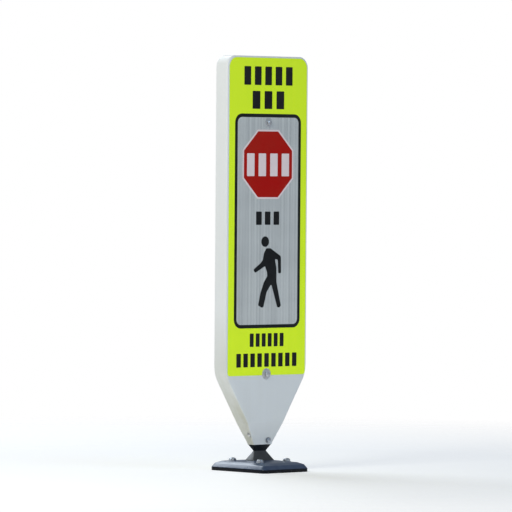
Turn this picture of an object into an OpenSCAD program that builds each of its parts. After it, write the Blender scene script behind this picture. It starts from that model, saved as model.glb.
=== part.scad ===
// Flexible in-road crossing sign: a two-sided sign panel on a hollow body that tapers to a neck,
// carried by a rubber hinge on a low bolted base. Millimetres, +Z up, front face towards -Y,
// origin at the bottom centre of the base.

/* [Sign body] */
// Width of the hollow body
body_w = 316; // [290:1:380]
// Thickness of the hollow body, front to back
body_d = 50; // [46:1:62]
// Height of the top of the body above the road
body_top = 1187; // [1100:1:1430]
// Radius of the two top corners
top_corner_r = 32; // [10:1:60]
// Wall of the hollow body
shell_wall = 3; // [2.5:0.1:4]
// Height at which the sides start to taper
shoulder_z = 278; // [230:1:310]
// Radius that eases the sides into the taper
shoulder_r = 90; // [20:1:110]

/* [Neck] */
// Height at which the body also starts to get thinner
waist_z = 140; // [136:1:165]
// Width of the body at that height
waist_w = 142; // [116:1:156]
// Height of the neck's bottom edge
neck_z = 76; // [74:1:79]
// Width of the neck's bottom edge
neck_w = 72; // [64:1:78]
// Thickness of the neck's bottom edge
neck_d = 27; // [24:0.5:30]
// Height of the moulded block inside the neck
insert_h = 52; // [44:1:54]
// Clearance between the body and what is trapped in it
insert_gap = 0.1; // [0.05:0.05:0.2]

/* [Rubber hinge] */
// Height of the bending line
hinge_z = 58; // [56:0.5:62]
// Width of the rubber at the bending line
web_w = 44; // [36:1:52]
// Thickness of the rubber at the bending line
web_d = 8; // [6:0.5:9]
// Half height of the stretch that bends
web_half_h = 7; // [6:0.5:8]
// Width of the rubber where it enters the base
foot_w = 83; // [69:1:90]
// Thickness of the rubber where it enters the base
foot_d = 37.5; // [32:0.5:42]
// Width that the flange of the foot adds on each side
flange_out = 8; // [6:1:12]
// Thickness of the flange of the foot
flange_t = 9; // [6:0.5:10]
// Width of the tongue that stands in the neck
tongue_w = 53; // [46:1:54]
// Thickness of the tongue
tongue_d = 14; // [12:0.5:15]
// Height of the tongue
tongue_h = 50; // [40:1:51]
// Distance that the rubber's top steps in from the neck's bottom edge
head_step = 1; // [0:0.5:2]
// Gap between a bonded steel plate and its rubber
bond_gap = 0.05; // [0.02:0.01:0.1]

/* [Steel plates in the rubber] */
// Width of the plate in the tongue
core_w = 48; // [46:1:50]
// Thickness of the plate in the tongue
core_t = 5; // [3:0.5:6]
// Height of the plate in the tongue
core_h = 44; // [30:1:45]
// Thickness of the plate in the foot
foot_plate_t = 3; // [2:0.5:4]
// Rubber left round the plate in the foot
foot_plate_cover = 5; // [3:0.5:8]

/* [Base] */
// Width of the base
base_w = 178; // [170:1:220]
// Length of the base, front to back
base_l = 229; // [215:1:275]
// Height of the base at the rubber's foot
base_h = 30.5; // [29.5:0.5:34]
// Corner radius of the base
base_corner_r = 14; // [6:1:22]
// Height of the upright edge
edge_h = 10; // [8:0.5:12]
// Width of the steep bevel
bevel_w = 9; // [7:0.5:11]
// Height of the steep bevel's upper edge
bevel_z = 21; // [18:0.5:23]
// Width of the steep bevel and the middle slope together
slope_w = 24; // [20:0.5:25]
// Height of the middle slope's upper edge
slope_z = 27; // [25:0.5:28]
// Clearance between the base and the rubber's foot
foot_gap = 0.3; // [0.1:0.1:0.5]
// Thickness of the keeper plate under the base
keeper_t = 4; // [3:0.5:4.5]
// Distance that the keeper plate reaches past the flange
keeper_out = 13; // [12:0.5:15]
// Height of the keeper plate's underside above the road
keeper_z = 0.5; // [0.2:0.1:1]
// Clearance round the keeper plate
keeper_gap = 0.3; // [0.1:0.1:0.6]

/* [Anchor bolts] */
// Distance between the anchor bolts across the base
anchor_pitch_x = 104; // [100:1:106]
// Distance between the anchor bolts from front to back
anchor_pitch_y = 116; // [112:1:140]
// Shank diameter of an anchor bolt
anchor_d = 12; // [10:1:14]
// Width across the flats of an anchor bolt's head
anchor_af = 19; // [17:0.5:22]
// Height of the six-sided part of the head
anchor_hex_h = 5; // [4:0.5:7]
// Height of the domed top of the head
anchor_dome_h = 3.5; // [2:0.5:4]
// Diameter of the washer under the head
anchor_washer_d = 24; // [23:0.5:28]
// Thickness of that washer
anchor_washer_t = 2.5; // [1.5:0.5:3]
// Clearance round an anchor bolt in the base
anchor_clear = 1; // [0.5:0.5:1.5]
// Height of the flat seat for that washer
anchor_seat_z = 26.8; // [25:0.2:27]

/* [Small screws and bolts] */
// Shank diameter of a keeper screw
keeper_screw_d = 6; // [5:0.5:6]
// Length of a keeper screw
keeper_screw_l = 15; // [13:0.5:17]
// Diameter of the neck bolt and the face bolts
bolt_d = 8; // [6:0.5:8]
// Width across the flats of their heads and nuts
bolt_af = 13; // [12:0.5:14]
// Height of their heads
bolt_head_h = 5.3; // [4:0.1:6]
// Height of their nuts
nut_h = 6.5; // [5:0.1:7]
// Length of thread past a nut
bolt_tail = 2; // [1:0.5:4]
// Radial clearance of a screw or bolt in its hole
bolt_clear = 0.3; // [0.1:0.1:0.4]
// Thickness of the small washers
washer_t = 1.6; // [1:0.1:2]
// Diameter of the neck bolt's washers
neck_washer_d = 17; // [16:0.5:18]
// Distance of the neck bolt from the middle
neck_bolt_x = 18; // [16:0.5:18]
// Height of the neck bolt above the neck's bottom edge
neck_bolt_rise = 12; // [11:0.5:14]
// Shank diameter of a side screw
side_screw_d = 5; // [4:0.5:6]
// Length of a side screw under its head
side_screw_l = 16; // [10:1:20]
// Head diameter of a side screw
side_head_d = 11; // [9:0.5:12]
// Head height of a side screw
side_head_h = 3.5; // [2.5:0.5:4]
// Height of the side screws above the neck's bottom edge
side_screw_rise = 29; // [26:0.5:32]
// Distance of the side screws in front of the middle plane
side_screw_y = 10.5; // [10:0.1:11.5]
// Thickness of the body under a bolt's or screw's seat
seat_t = 3; // [2:0.5:3]
// Depth of a side screw's seat below the body's face
side_seat_drop = 3.5; // [2.5:0.5:4]
// Depth of the neck bolt's seat below the body's face
neck_seat_drop = 1.4; // [1:0.1:1.8]

/* [Face panels] */
// Width of a face panel
face_w = 302; // [280:1:310]
// Height of a face panel
face_h = 907; // [830:1:911]
// Distance from the top of the body down to the face panel
face_drop = 5; // [3:1:10]
// Radius of a face panel's top corners
face_corner_r = 28; // [12:1:40]
// Radius of a face panel's bottom corners
face_foot_r = 9; // [4:1:14]
// Thickness of a face panel
plate_t = 1; // [0.8:0.1:1.6]
// Thickness of each layer of film
film_t = 0.3; // [0.2:0.05:0.5]
// Distance from the panel's top to the upper face bolt
upper_bolt_drop = 185; // [183:1:187]
// Distance from the panel's top to the lower face bolt
lower_bolt_drop = 904; // [900:1:908]
// Diameter of the upper face bolt's washers
upper_washer_d = 25; // [20:0.5:26]
// Diameter of the lower face bolt's washers
lower_washer_d = 30; // [24:0.5:31]
// Radius of the panel's notch round the lower face bolt
notch_r = 17; // [16:0.5:18]
// Outside diameter of the spacer tubes
spacer_d = 16; // [14:0.5:20]

/* [Face layout] */
// Outside width of the dark border
border_w = 257; // [240:1:262]
// Distance from the panel's top to the border
border_drop = 160; // [156:1:162]
// Outside height of the border
border_h = 612; // [606:1:616]
// Width of the border's line
border_t = 10; // [8:0.5:11]
// Outside corner radius of the border
border_r = 26; // [20:1:32]
// Width across the flats of the red octagon
octagon_af = 188; // [160:1:192]
// Width of the pale edge round the octagon
octagon_edge = 5; // [3:0.5:7]
// Distance from the panel's top to the octagon's centre
octagon_drop = 304; // [300:1:308]
// First row of blank blocks: count, width, distance below the panel's top, height
row_a = [5, 188, 25, 53]; // [1:1:900]
// Second row of blank blocks, laid out in the same way
row_b = [3, 123, 95, 51]; // [1:1:900]
// Row of blank blocks inside the border
row_c = [3, 90, 439, 38]; // [1:1:900]
// First row of blank blocks below the border
row_d = [6, 132, 787, 38]; // [1:1:900]
// Second row of blank blocks below the border
row_e = [9, 235, 844, 39]; // [1:1:900]
// Row of blank blocks in the octagon
row_f = [4, 164, 273, 65]; // [1:1:900]
// Share of each blank place that its block fills
block_fill = 0.64; // [0.4:0.02:0.8]
// Corner radius of a block
block_r = 2; // [1:0.5:3]
// Distance from the panel's top to the ground that the walking figure stands on
walker_drop = 714; // [710:1:720]

/* [Hidden] */
$fn = 72;
LONG = 400;
// How far a cutting shape reaches past the face that it cuts.
OVER = 1;
// Play between parts that sit one on the other in the base.
PLAY = 0.1;
FRONT = 0;
BACK = 180;
BODY_STEPS = 10;
FIGURE_STEPS = 4;
HEX = 6;

body_paint = [0.90, 0.91, 0.88];
rubber_paint = [0.07, 0.08, 0.09];
base_paint = [0.09, 0.10, 0.13];
steel_paint = [0.62, 0.64, 0.66];
plate_paint = [0.70, 0.71, 0.72];
lime_paint = [0.72, 0.90, 0.05];
silver_paint = [0.66, 0.68, 0.70];
white_paint = [0.93, 0.93, 0.93];
black_paint = [0.06, 0.06, 0.06];
red_paint = [0.62, 0.04, 0.04];

// Heights on the face are measured down from the top of the panel.
face_top = body_top - face_drop;
upper_bolt_z = face_top - upper_bolt_drop;
lower_bolt_z = face_top - lower_bolt_drop;
sheet_level = body_d / 2 + plate_t;
print_level = sheet_level + film_t;
art_level = print_level + film_t;
top_level = art_level + film_t;
inset_w = border_w - 2 * border_t;
inset_h = border_h - 2 * border_t;

// The hinge narrows in straight lines from the foot up to the bending line and widens again.
web_low = hinge_z - web_half_h;
web_high = hinge_z + web_half_h;
tongue_top = neck_z + tongue_h;
tongue_root = 3;
insert_rise = 4;
insert_foot = neck_z + insert_rise;
socket_w = tongue_w + 2 * insert_gap;
socket_d = tongue_d + 2 * insert_gap;

// The keeper plate lies in the base's underside and holds the flange up against its ledge.
keeper_top = keeper_z + keeper_t;
flange_z = keeper_top + PLAY;
ledge_z = flange_z + flange_t + PLAY;
flange_w = foot_w + 2 * flange_out;
flange_d = foot_d + 2 * flange_out;
keeper_w = flange_w + 2 * keeper_out;
keeper_d = flange_d + 2 * keeper_out;
keeper_screw_x = flange_w / 2 + keeper_out / 2;
keeper_screw_y = flange_d / 2 + keeper_out / 2 - 1;
keeper_head_d = 1.8 * keeper_screw_d;
keeper_tip_gap = 0.5;
spot_face_d = anchor_washer_d + 2;
foot_plate_z = flange_z + (flange_t - foot_plate_t) / 2;

neck_bolt_z = neck_z + neck_bolt_rise;
side_screw_z = neck_z + side_screw_rise;
side_slope = (waist_w - neck_w) / (2 * (waist_z - neck_z));
front_slope = (body_d - neck_d) / (2 * (waist_z - neck_z));
side_seat_x = neck_w / 2 + side_slope * side_screw_rise - side_seat_drop;
neck_seat_y = neck_d / 2 + front_slope * neck_bolt_rise - neck_seat_drop;
side_pocket_d = side_head_d + 2;
neck_pocket_d = neck_washer_d + 1;
boss_rim = 2.5;
side_screw_tip = side_seat_x - side_screw_l;
bolt_hole_d = bolt_d + 2 * bolt_clear;

// ---- Outline helpers ----

function unit(v) = v / norm(v);

function left_normal(a, b) = let (d = unit(b - a)) [-d.y, d.x];

// Moves the corner b of a clockwise outline a, b, c inwards by t on both of its sides.
function inset_corner(a, b, c, t) =
    let (n1 = -left_normal(a, b), n2 = -left_normal(b, c))
    b + (n1 + n2) * t / (1 + n1 * n2);

// Arc of radius r in the corner b between its neighbours a and c, or the bare corner at r = 0.
function corner_arc(a, b, c, r, steps) =
    r <= 0 ? [b] :
    let (
        ua = unit(a - b),
        uc = unit(c - b),
        half = acos(ua * uc) / 2,
        centre = b + unit(ua + uc) * r / sin(half),
        start = b + ua * r / tan(half) - centre,
        turn = sign(ua.x * uc.y - ua.y * uc.x) * (2 * half - 180)
    )
    [for (i = [0 : steps])
        let (t = -turn * i / steps)
        centre + [start.x * cos(t) + start.y * sin(t), start.y * cos(t) - start.x * sin(t)]];

function rounded_outline(points, radii, steps) =
    let (n = len(points))
    [for (i = [0 : n - 1])
        each corner_arc(points[(i + n - 1) % n], points[i], points[(i + 1) % n], radii[i], steps)];

// Corners of the body's front outline, clockwise from the neck's left end.
function body_corners() = [
    [-neck_w / 2, neck_z], [-waist_w / 2, waist_z], [-body_w / 2, shoulder_z],
    [-body_w / 2, body_top], [body_w / 2, body_top],
    [body_w / 2, shoulder_z], [waist_w / 2, waist_z], [neck_w / 2, neck_z]
];

// The same outline moved inwards by t. Its bottom edge stays open, so it is carried on downwards.
function body_outline(t) =
    let (
        p = body_corners(),
        n = len(p),
        inner = [for (i = [1 : n - 2]) inset_corner(p[i - 1], p[i], p[i + 1], t)],
        foot_x = inner[n - 3].x - side_slope * (inner[n - 3].y - neck_z),
        radii = [0, 0, shoulder_r - t, top_corner_r - t, top_corner_r - t, shoulder_r - t, 0, 0]
    )
    rounded_outline([[-foot_x, neck_z], each inner, [foot_x, neck_z]], radii, BODY_STEPS);

// Side outline of the body, moved inwards by t, with its half thickness along x.
function side_outline(t) =
    let (
        lean = t * sqrt(1 + front_slope * front_slope),
        low = neck_d / 2 - lean,
        high = body_d / 2 - t,
        bend = neck_z + (high - low) / front_slope
    )
    [[-low, neck_z], [-high, bend], [-high, body_top - t], [high, body_top - t], [high, bend], [low, neck_z]];

// Extrudes a front outline (x, z) along Y, centred on the middle plane.
module front_extrude(depth) {
    rotate([90, 0, 0])
        linear_extrude(depth, center = true)
            children();
}

// Extrudes a side outline (y, z) along X, centred on the middle plane.
module side_extrude(depth) {
    rotate([90, 0, 90])
        linear_extrude(depth, center = true)
            children();
}

module box_on(width, depth, z, height) {
    translate([-width / 2, -depth / 2, z])
        cube([width, depth, height]);
}

module rounded_rect(width, height, r) {
    square([width - 2 * r, height], center = true);
    square([width, height - 2 * r], center = true);
    for (x = [-1, 1], y = [-1, 1])
        translate([x * (width / 2 - r), y * (height / 2 - r)])
            circle(r);
}

module at_anchors() {
    for (x = [-1, 1], y = [-1, 1])
        translate([x * anchor_pitch_x / 2, y * anchor_pitch_y / 2, 0])
            children();
}

module at_keeper_screws() {
    for (x = [-1, 1], y = [-1, 1])
        translate([x * keeper_screw_x, y * keeper_screw_y, 0])
            children();
}

// Rod along Y, from y0 to y1.
module rod_y(d, x, z, y0, y1, sides = $fn) {
    translate([x, y1, z])
        rotate([90, 0, 0])
            cylinder(h = y1 - y0, d = d, $fn = sides);
}

// Rods along X at the two side screws, from x0 to x1 on each side.
module side_rods(d, x0, x1) {
    for (side = [0, 1])
        mirror([side, 0, 0])
            translate([x0, -side_screw_y, side_screw_z])
                rotate([0, 90, 0])
                    cylinder(h = x1 - x0, d = d);
}

// Rods along Y at the neck bolt, from y0 to y1 in front and behind.
module neck_rods(d, y0, y1) {
    rod_y(d, neck_bolt_x, neck_bolt_z, -y1, -y0);
    rod_y(d, neck_bolt_x, neck_bolt_z, y0, y1);
}

module hex_prism_y(x, z, y0, y1) {
    rod_y(bolt_af / cos(30), x, z, y0, y1, HEX);
}

// Washers in front and behind: their inner faces lie at -level and +level.
module washer_pair(d, x, z, level) {
    difference() {
        union() {
            rod_y(d, x, z, -level - washer_t, -level);
            rod_y(d, x, z, level, level + washer_t);
        }
        rod_y(bolt_hole_d, x, z, -LONG, LONG);
    }
}

module through_bolt(x, z, level) {
    seat = level + washer_t;
    rod_y(bolt_d, x, z, -seat, seat + nut_h + bolt_tail);
    hex_prism_y(x, z, -seat - bolt_head_h, -seat);
}

module nut_behind(x, z, level) {
    seat = level + washer_t;
    difference() {
        hex_prism_y(x, z, seat, seat + nut_h);
        rod_y(bolt_d + 2 * insert_gap, x, z, seat - OVER, seat + nut_h + OVER);
    }
}

// ---- Base ----

// Cross-section of the base's top, with the foot's half width at its crown.
module base_profile(half, crown) {
    polygon([
        [-half, 0], [-half, edge_h], [-half + bevel_w, bevel_z], [-half + slope_w, slope_z], [-crown, base_h],
        [crown, base_h], [half - slope_w, slope_z], [half - bevel_w, bevel_z], [half, edge_h], [half, 0]
    ]);
}

module base() {
    color(base_paint)
        difference() {
            intersection() {
                front_extrude(base_l)
                    base_profile(base_w / 2, foot_w / 2);
                side_extrude(base_w)
                    base_profile(base_l / 2, foot_d / 2);
                linear_extrude(base_h)
                    rounded_rect(base_w, base_l, base_corner_r);
            }
            box_on(foot_w + 2 * foot_gap, foot_d + 2 * foot_gap, ledge_z - OVER, base_h);
            box_on(flange_w + 2 * foot_gap, flange_d + 2 * foot_gap, keeper_z, ledge_z - keeper_z);
            box_on(keeper_w + 2 * keeper_gap, keeper_d + 2 * keeper_gap, -OVER, keeper_top + PLAY + OVER);
            at_keeper_screws()
                cylinder(h = keeper_z + keeper_screw_l + keeper_tip_gap, d = keeper_screw_d + 2 * insert_gap);
            at_anchors()
                translate([0, 0, -OVER])
                    cylinder(h = base_h + 2 * OVER, d = anchor_d + 2 * anchor_clear);
            at_anchors()
                translate([0, 0, anchor_seat_z])
                    cylinder(h = base_h, d = spot_face_d);
        }
}

module keeper_plate() {
    color(steel_paint)
        difference() {
            box_on(keeper_w, keeper_d, keeper_z, keeper_t);
            at_keeper_screws()
                cylinder(h = keeper_top + OVER, d = keeper_screw_d + 2 * bolt_clear);
            at_keeper_screws()
                countersink(insert_gap);
        }
}

// Cone of a countersunk head, wide end down at the keeper plate's underside.
module countersink(gap) {
    head_r = keeper_head_d / 2 + gap;
    translate([0, 0, keeper_z])
        cylinder(h = head_r, r1 = head_r, r2 = 0);
}

module keeper_screws() {
    color(steel_paint)
        at_keeper_screws()
            union() {
                translate([0, 0, keeper_z])
                    cylinder(h = keeper_screw_l, d = keeper_screw_d);
                countersink(0);
            }
}

// ---- Anchor bolts ----

module anchor_head() {
    seat = anchor_seat_z + anchor_washer_t;
    corner_r = anchor_af / (2 * cos(30));
    height = anchor_hex_h + anchor_dome_h;
    dome_r = (corner_r * corner_r + anchor_dome_h * anchor_dome_h) / (2 * anchor_dome_h);
    intersection() {
        translate([0, 0, seat])
            cylinder(h = height, r = corner_r, $fn = HEX);
        translate([0, 0, seat + height - dome_r])
            sphere(dome_r);
    }
}

module anchor_bolts() {
    color(steel_paint)
        at_anchors()
            union() {
                anchor_head();
                translate([0, 0, keeper_z])
                    cylinder(h = anchor_seat_z + anchor_washer_t - keeper_z + OVER, d = anchor_d);
            }
}

module anchor_washers() {
    color(steel_paint)
        at_anchors()
            translate([0, 0, anchor_seat_z])
                difference() {
                    cylinder(h = anchor_washer_t, d = anchor_washer_d);
                    translate([0, 0, -OVER])
                        cylinder(h = anchor_washer_t + 2 * OVER, d = anchor_d + 2 * bolt_clear);
                }
}

// ---- Rubber hinge ----

// Half size of the hinge's outline at height z, between its foot, bending line and neck.
function flare(z, foot, web, neck) =
    z <= base_h ? foot / 2 :
    z <= hinge_z ? foot / 2 + (web - foot) / 2 * (z - base_h) / (hinge_z - base_h) :
    web / 2 + (neck - web) / 2 * (z - hinge_z) / (neck_z - hinge_z);

// Outline between two heights that follows the flare, mirrored about the middle.
module flare_outline(z0, z1, foot, web, neck) {
    heights = [z0, each [for (z = [base_h, hinge_z]) if (z > z0 && z < z1) z], z1];
    right = [for (z = heights) [flare(z, foot, web, neck), z]];
    left = [for (i = [len(right) - 1 : -1 : 0]) [-right[i].x, right[i].y]];
    polygon([each right, each left]);
}

module flare_solid(z0, z1) {
    intersection() {
        front_extrude(LONG)
            flare_outline(z0, z1, foot_w, web_w, neck_w - 2 * head_step);
        side_extrude(LONG)
            flare_outline(z0, z1, foot_d, web_d, neck_d - 2 * head_step);
    }
}

module hinge_foot() {
    color(rubber_paint)
        difference() {
            union() {
                box_on(flange_w, flange_d, flange_z, flange_t);
                flare_solid(flange_z, web_low);
            }
            foot_plate_box(bond_gap);
        }
}

module foot_plate_box(gap) {
    width = flange_w - 2 * foot_plate_cover + 2 * gap;
    depth = flange_d - 2 * foot_plate_cover + 2 * gap;
    box_on(width, depth, foot_plate_z - gap, foot_plate_t + 2 * gap);
}

module hinge_foot_plate() {
    color(steel_paint)
        foot_plate_box(0);
}

module hinge_web() {
    color(rubber_paint)
        flare_solid(web_low, web_high);
}

module hinge_head() {
    color(rubber_paint)
        difference() {
            union() {
                flare_solid(web_high, neck_z - insert_gap);
                box_on(tongue_w, tongue_d, neck_z - tongue_root, tongue_h + tongue_root);
            }
            core_box(bond_gap);
            neck_bolt_hole();
        }
}

module core_box(gap) {
    top = tongue_top - (tongue_h - core_h) / 2;
    box_on(core_w + 2 * gap, core_t + 2 * gap, top - core_h - gap, core_h + 2 * gap);
}

module hinge_core() {
    color(steel_paint)
        difference() {
            core_box(0);
            neck_bolt_hole();
        }
}

module neck_bolt_hole() {
    rod_y(bolt_hole_d, neck_bolt_x, neck_bolt_z, -LONG, LONG);
}

// Bosses that carry the seats of the neck bolt and the side screws, grown by a gap.
module seat_bosses(gap) {
    neck_rods(neck_pocket_d + 2 * boss_rim + 2 * gap, neck_seat_y - seat_t - gap, body_d / 2);
    side_rods(side_pocket_d + 2 * boss_rim + 2 * gap, side_seat_x - seat_t - gap, waist_w / 2);
}

// Round recesses over the seats, in which the heads, washers and nut lie.
module seat_pockets() {
    neck_rods(neck_pocket_d, neck_seat_y, body_d);
    side_rods(side_pocket_d, side_seat_x, waist_w);
}

// ---- Neck ----

// Solid inside the body's faces moved inwards by t.
module body_solid(t) {
    intersection() {
        front_extrude(body_d + 2 * OVER)
            polygon(body_outline(t));
        side_extrude(body_w + 2 * OVER)
            polygon(side_outline(t));
    }
}

module neck_insert() {
    color(black_paint)
        difference() {
            intersection() {
                body_solid(shell_wall + insert_gap);
                box_on(body_w, body_d, insert_foot, insert_h);
            }
            box_on(socket_w, socket_d, neck_z, tongue_top + OVER - neck_z);
            neck_bolt_hole();
            seat_bosses(insert_gap);
            side_rods(side_screw_d + 2 * bond_gap, side_screw_tip - OVER, body_w / 2);
        }
}

module neck_bolt() {
    color(steel_paint)
        through_bolt(neck_bolt_x, neck_bolt_z, neck_seat_y);
}

module neck_washers() {
    color(steel_paint)
        washer_pair(neck_washer_d, neck_bolt_x, neck_bolt_z, neck_seat_y);
}

module neck_nut() {
    color(steel_paint)
        nut_behind(neck_bolt_x, neck_bolt_z, neck_seat_y);
}

module side_screws() {
    color(steel_paint)
        union() {
            side_rods(side_screw_d, side_screw_tip, side_seat_x);
            side_rods(side_head_d, side_seat_x, side_seat_x + side_head_h);
        }
}

// ---- Body ----

module face_bolt_holes() {
    rod_y(bolt_hole_d, 0, upper_bolt_z, -LONG, LONG);
    rod_y(bolt_hole_d, 0, lower_bolt_z, -LONG, LONG);
}

module body_shell() {
    color(body_paint)
        difference() {
            body_solid(0);
            difference() {
                body_solid(shell_wall);
                seat_bosses(0);
            }
            seat_pockets();
            side_rods(side_screw_d + 2 * bolt_clear, 0, waist_w);
            face_bolt_holes();
            neck_bolt_hole();
        }
}

module spacer_tubes() {
    inner = body_d / 2 - shell_wall - insert_gap;
    color(steel_paint)
        difference() {
            for (z = [upper_bolt_z, lower_bolt_z])
                rod_y(spacer_d, 0, z, -inner, inner);
            face_bolt_holes();
        }
}

module face_bolts() {
    color(steel_paint)
        union() {
            through_bolt(0, upper_bolt_z, art_level);
            through_bolt(0, lower_bolt_z, body_d / 2);
        }
}

module face_washers() {
    color(steel_paint)
        union() {
            washer_pair(upper_washer_d, 0, upper_bolt_z, art_level);
            washer_pair(lower_washer_d, 0, lower_bolt_z, body_d / 2);
        }
}

module face_nuts() {
    color(steel_paint)
        union() {
            nut_behind(0, upper_bolt_z, art_level);
            nut_behind(0, lower_bolt_z, body_d / 2);
        }
}

// ---- Faces ----

// Lays a drawing (x, z) on one face, with its back at the given distance from the middle plane.
module on_face(side, level, thickness) {
    rotate([0, 0, side])
        translate([0, -level, 0])
            rotate([90, 0, 0])
                linear_extrude(thickness)
                    children();
}

module face_outline() {
    difference() {
        union() {
            translate([-face_w / 2, face_top - face_h / 2])
                square([face_w, face_h / 2 - face_corner_r]);
            translate([-face_w / 2 + face_corner_r, face_top - face_corner_r])
                square([face_w - 2 * face_corner_r, face_corner_r]);
            translate([-face_w / 2, face_top - face_h + face_foot_r])
                square([face_w, face_h / 2]);
            translate([-face_w / 2 + face_foot_r, face_top - face_h])
                square([face_w - 2 * face_foot_r, face_h / 2]);
            for (x = [-1, 1]) {
                translate([x * (face_w / 2 - face_corner_r), face_top - face_corner_r])
                    circle(face_corner_r);
                translate([x * (face_w / 2 - face_foot_r), face_top - face_h + face_foot_r])
                    circle(face_foot_r);
            }
        }
        upper_hole();
        lower_notch();
    }
}

module upper_hole() {
    translate([0, upper_bolt_z])
        circle(d = bolt_hole_d);
}

module lower_notch() {
    translate([0, lower_bolt_z])
        circle(notch_r);
    translate([-notch_r, lower_bolt_z - face_h])
        square([2 * notch_r, face_h]);
}

module panel(side) {
    color(plate_paint)
        on_face(side, body_d / 2, plate_t)
            face_outline();
}

module sheeting(side) {
    color(lime_paint)
        on_face(side, sheet_level, film_t)
            face_outline();
}

module place_border() {
    translate([0, face_top - border_drop - border_h / 2])
        children();
}

module inset(side) {
    color(silver_paint)
        on_face(side, print_level, film_t)
            difference() {
                place_border()
                    rounded_rect(inset_w, inset_h, border_r - border_t);
                upper_hole();
            }
}

module border(side) {
    color(black_paint)
        on_face(side, print_level, film_t)
            place_border()
                difference() {
                    rounded_rect(border_w, border_h, border_r);
                    rounded_rect(inset_w, inset_h, border_r - border_t);
                }
}

// Row of equal blank blocks, centred on the panel.
module block_row(row) {
    count = row[0];
    height = row[3];
    pitch = row[1] / (count - 1 + block_fill);
    for (i = [0 : count - 1])
        translate([(i - (count - 1) / 2) * pitch, face_top - row[2] - height / 2])
            rounded_rect(pitch * block_fill, height, block_r);
}

module blocks(side) {
    color(black_paint) {
        on_face(side, print_level, film_t)
            for (row = [row_a, row_b, row_d, row_e])
                block_row(row);
        on_face(side, art_level, film_t)
            block_row(row_c);
    }
}

// Regular octagon with flats at its top and bottom.
module octagon_outline(flats) {
    translate([0, face_top - octagon_drop])
        rotate(22.5)
            circle(d = flats / cos(22.5), $fn = 8);
}

module octagon_border(side) {
    color(white_paint)
        on_face(side, art_level, film_t)
            difference() {
                octagon_outline(octagon_af + 2 * octagon_edge);
                octagon_outline(octagon_af);
            }
}

module octagon(side) {
    color(red_paint)
        on_face(side, art_level, film_t)
            octagon_outline(octagon_af);
}

module octagon_blocks(side) {
    color(white_paint)
        on_face(side, top_level, film_t)
            block_row(row_f);
}

// Walking figure that faces left, drawn from a point on the ground between its feet.
module walker_outline() {
    shoulders_and_rear_arm = [
        [-4, 170, 6], [12, 170, 8], [53, 147, 8], [54, 98, 4], [43, 98, 4], [41, 136, 3], [29, 141, 3]
    ];
    rear_leg = [[36, 112, 20], [36, 74, 30], [54, 6, 3], [48, 0, 3], [40, 1, 3], [16, 68, 3]];
    front_leg = [[-2, 45, 20], [-14, 3, 3], [-20, 0, 3], [-35, 7, 3], [-26, 42, 20], [-13, 73, 15]];
    front_arm = [
        [0, 90, 10], [-1, 102, 10], [-9, 119, 3], [-47, 100, 4],
        [-55, 109, 4], [-27, 127, 5], [-18, 136, 6], [-13, 157, 8]
    ];
    corners = concat(shoulders_and_rear_arm, rear_leg, front_leg, front_arm);
    translate([-9, 189])
        circle(15);
    polygon(rounded_outline([for (c = corners) [c.x, c.y]], [for (c = corners) c[2]], FIGURE_STEPS));
}

module walker(side) {
    color(black_paint)
        on_face(side, art_level, film_t)
            translate([0, face_top - walker_drop])
                walker_outline();
}

// ---- Nodes ----

base();
keeper_plate();
keeper_screws();
anchor_bolts();
anchor_washers();
hinge_foot();
hinge_foot_plate();
hinge_web();
hinge_head();
hinge_core();
neck_insert();
neck_bolt();
neck_washers();
neck_nut();
side_screws();
body_shell();
spacer_tubes();
face_bolts();
face_washers();
face_nuts();
panel(FRONT);  // front_panel
sheeting(FRONT);  // front_sheeting
inset(FRONT);  // front_inset
border(FRONT);  // front_border
blocks(FRONT);  // front_blocks
octagon_border(FRONT);  // front_octagon_edge
octagon(FRONT);  // front_octagon
octagon_blocks(FRONT);  // front_octagon_blocks
walker(FRONT);  // front_walker
panel(BACK);  // back_panel
sheeting(BACK);  // back_sheeting
inset(BACK);  // back_inset
border(BACK);  // back_border
blocks(BACK);  // back_blocks
octagon_border(BACK);  // back_octagon_edge
octagon(BACK);  // back_octagon
octagon_blocks(BACK);  // back_octagon_blocks
walker(BACK);  // back_walker
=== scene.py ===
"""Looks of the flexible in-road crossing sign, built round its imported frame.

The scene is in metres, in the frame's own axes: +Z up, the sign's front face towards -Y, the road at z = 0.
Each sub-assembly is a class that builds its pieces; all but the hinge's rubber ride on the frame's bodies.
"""

import logging
import math
from abc import ABC, abstractmethod
from collections.abc import Callable, Iterable, Sequence
from dataclasses import dataclass, field
from enum import Enum

import bmesh
import bpy
from mathutils import Matrix, Vector

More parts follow.
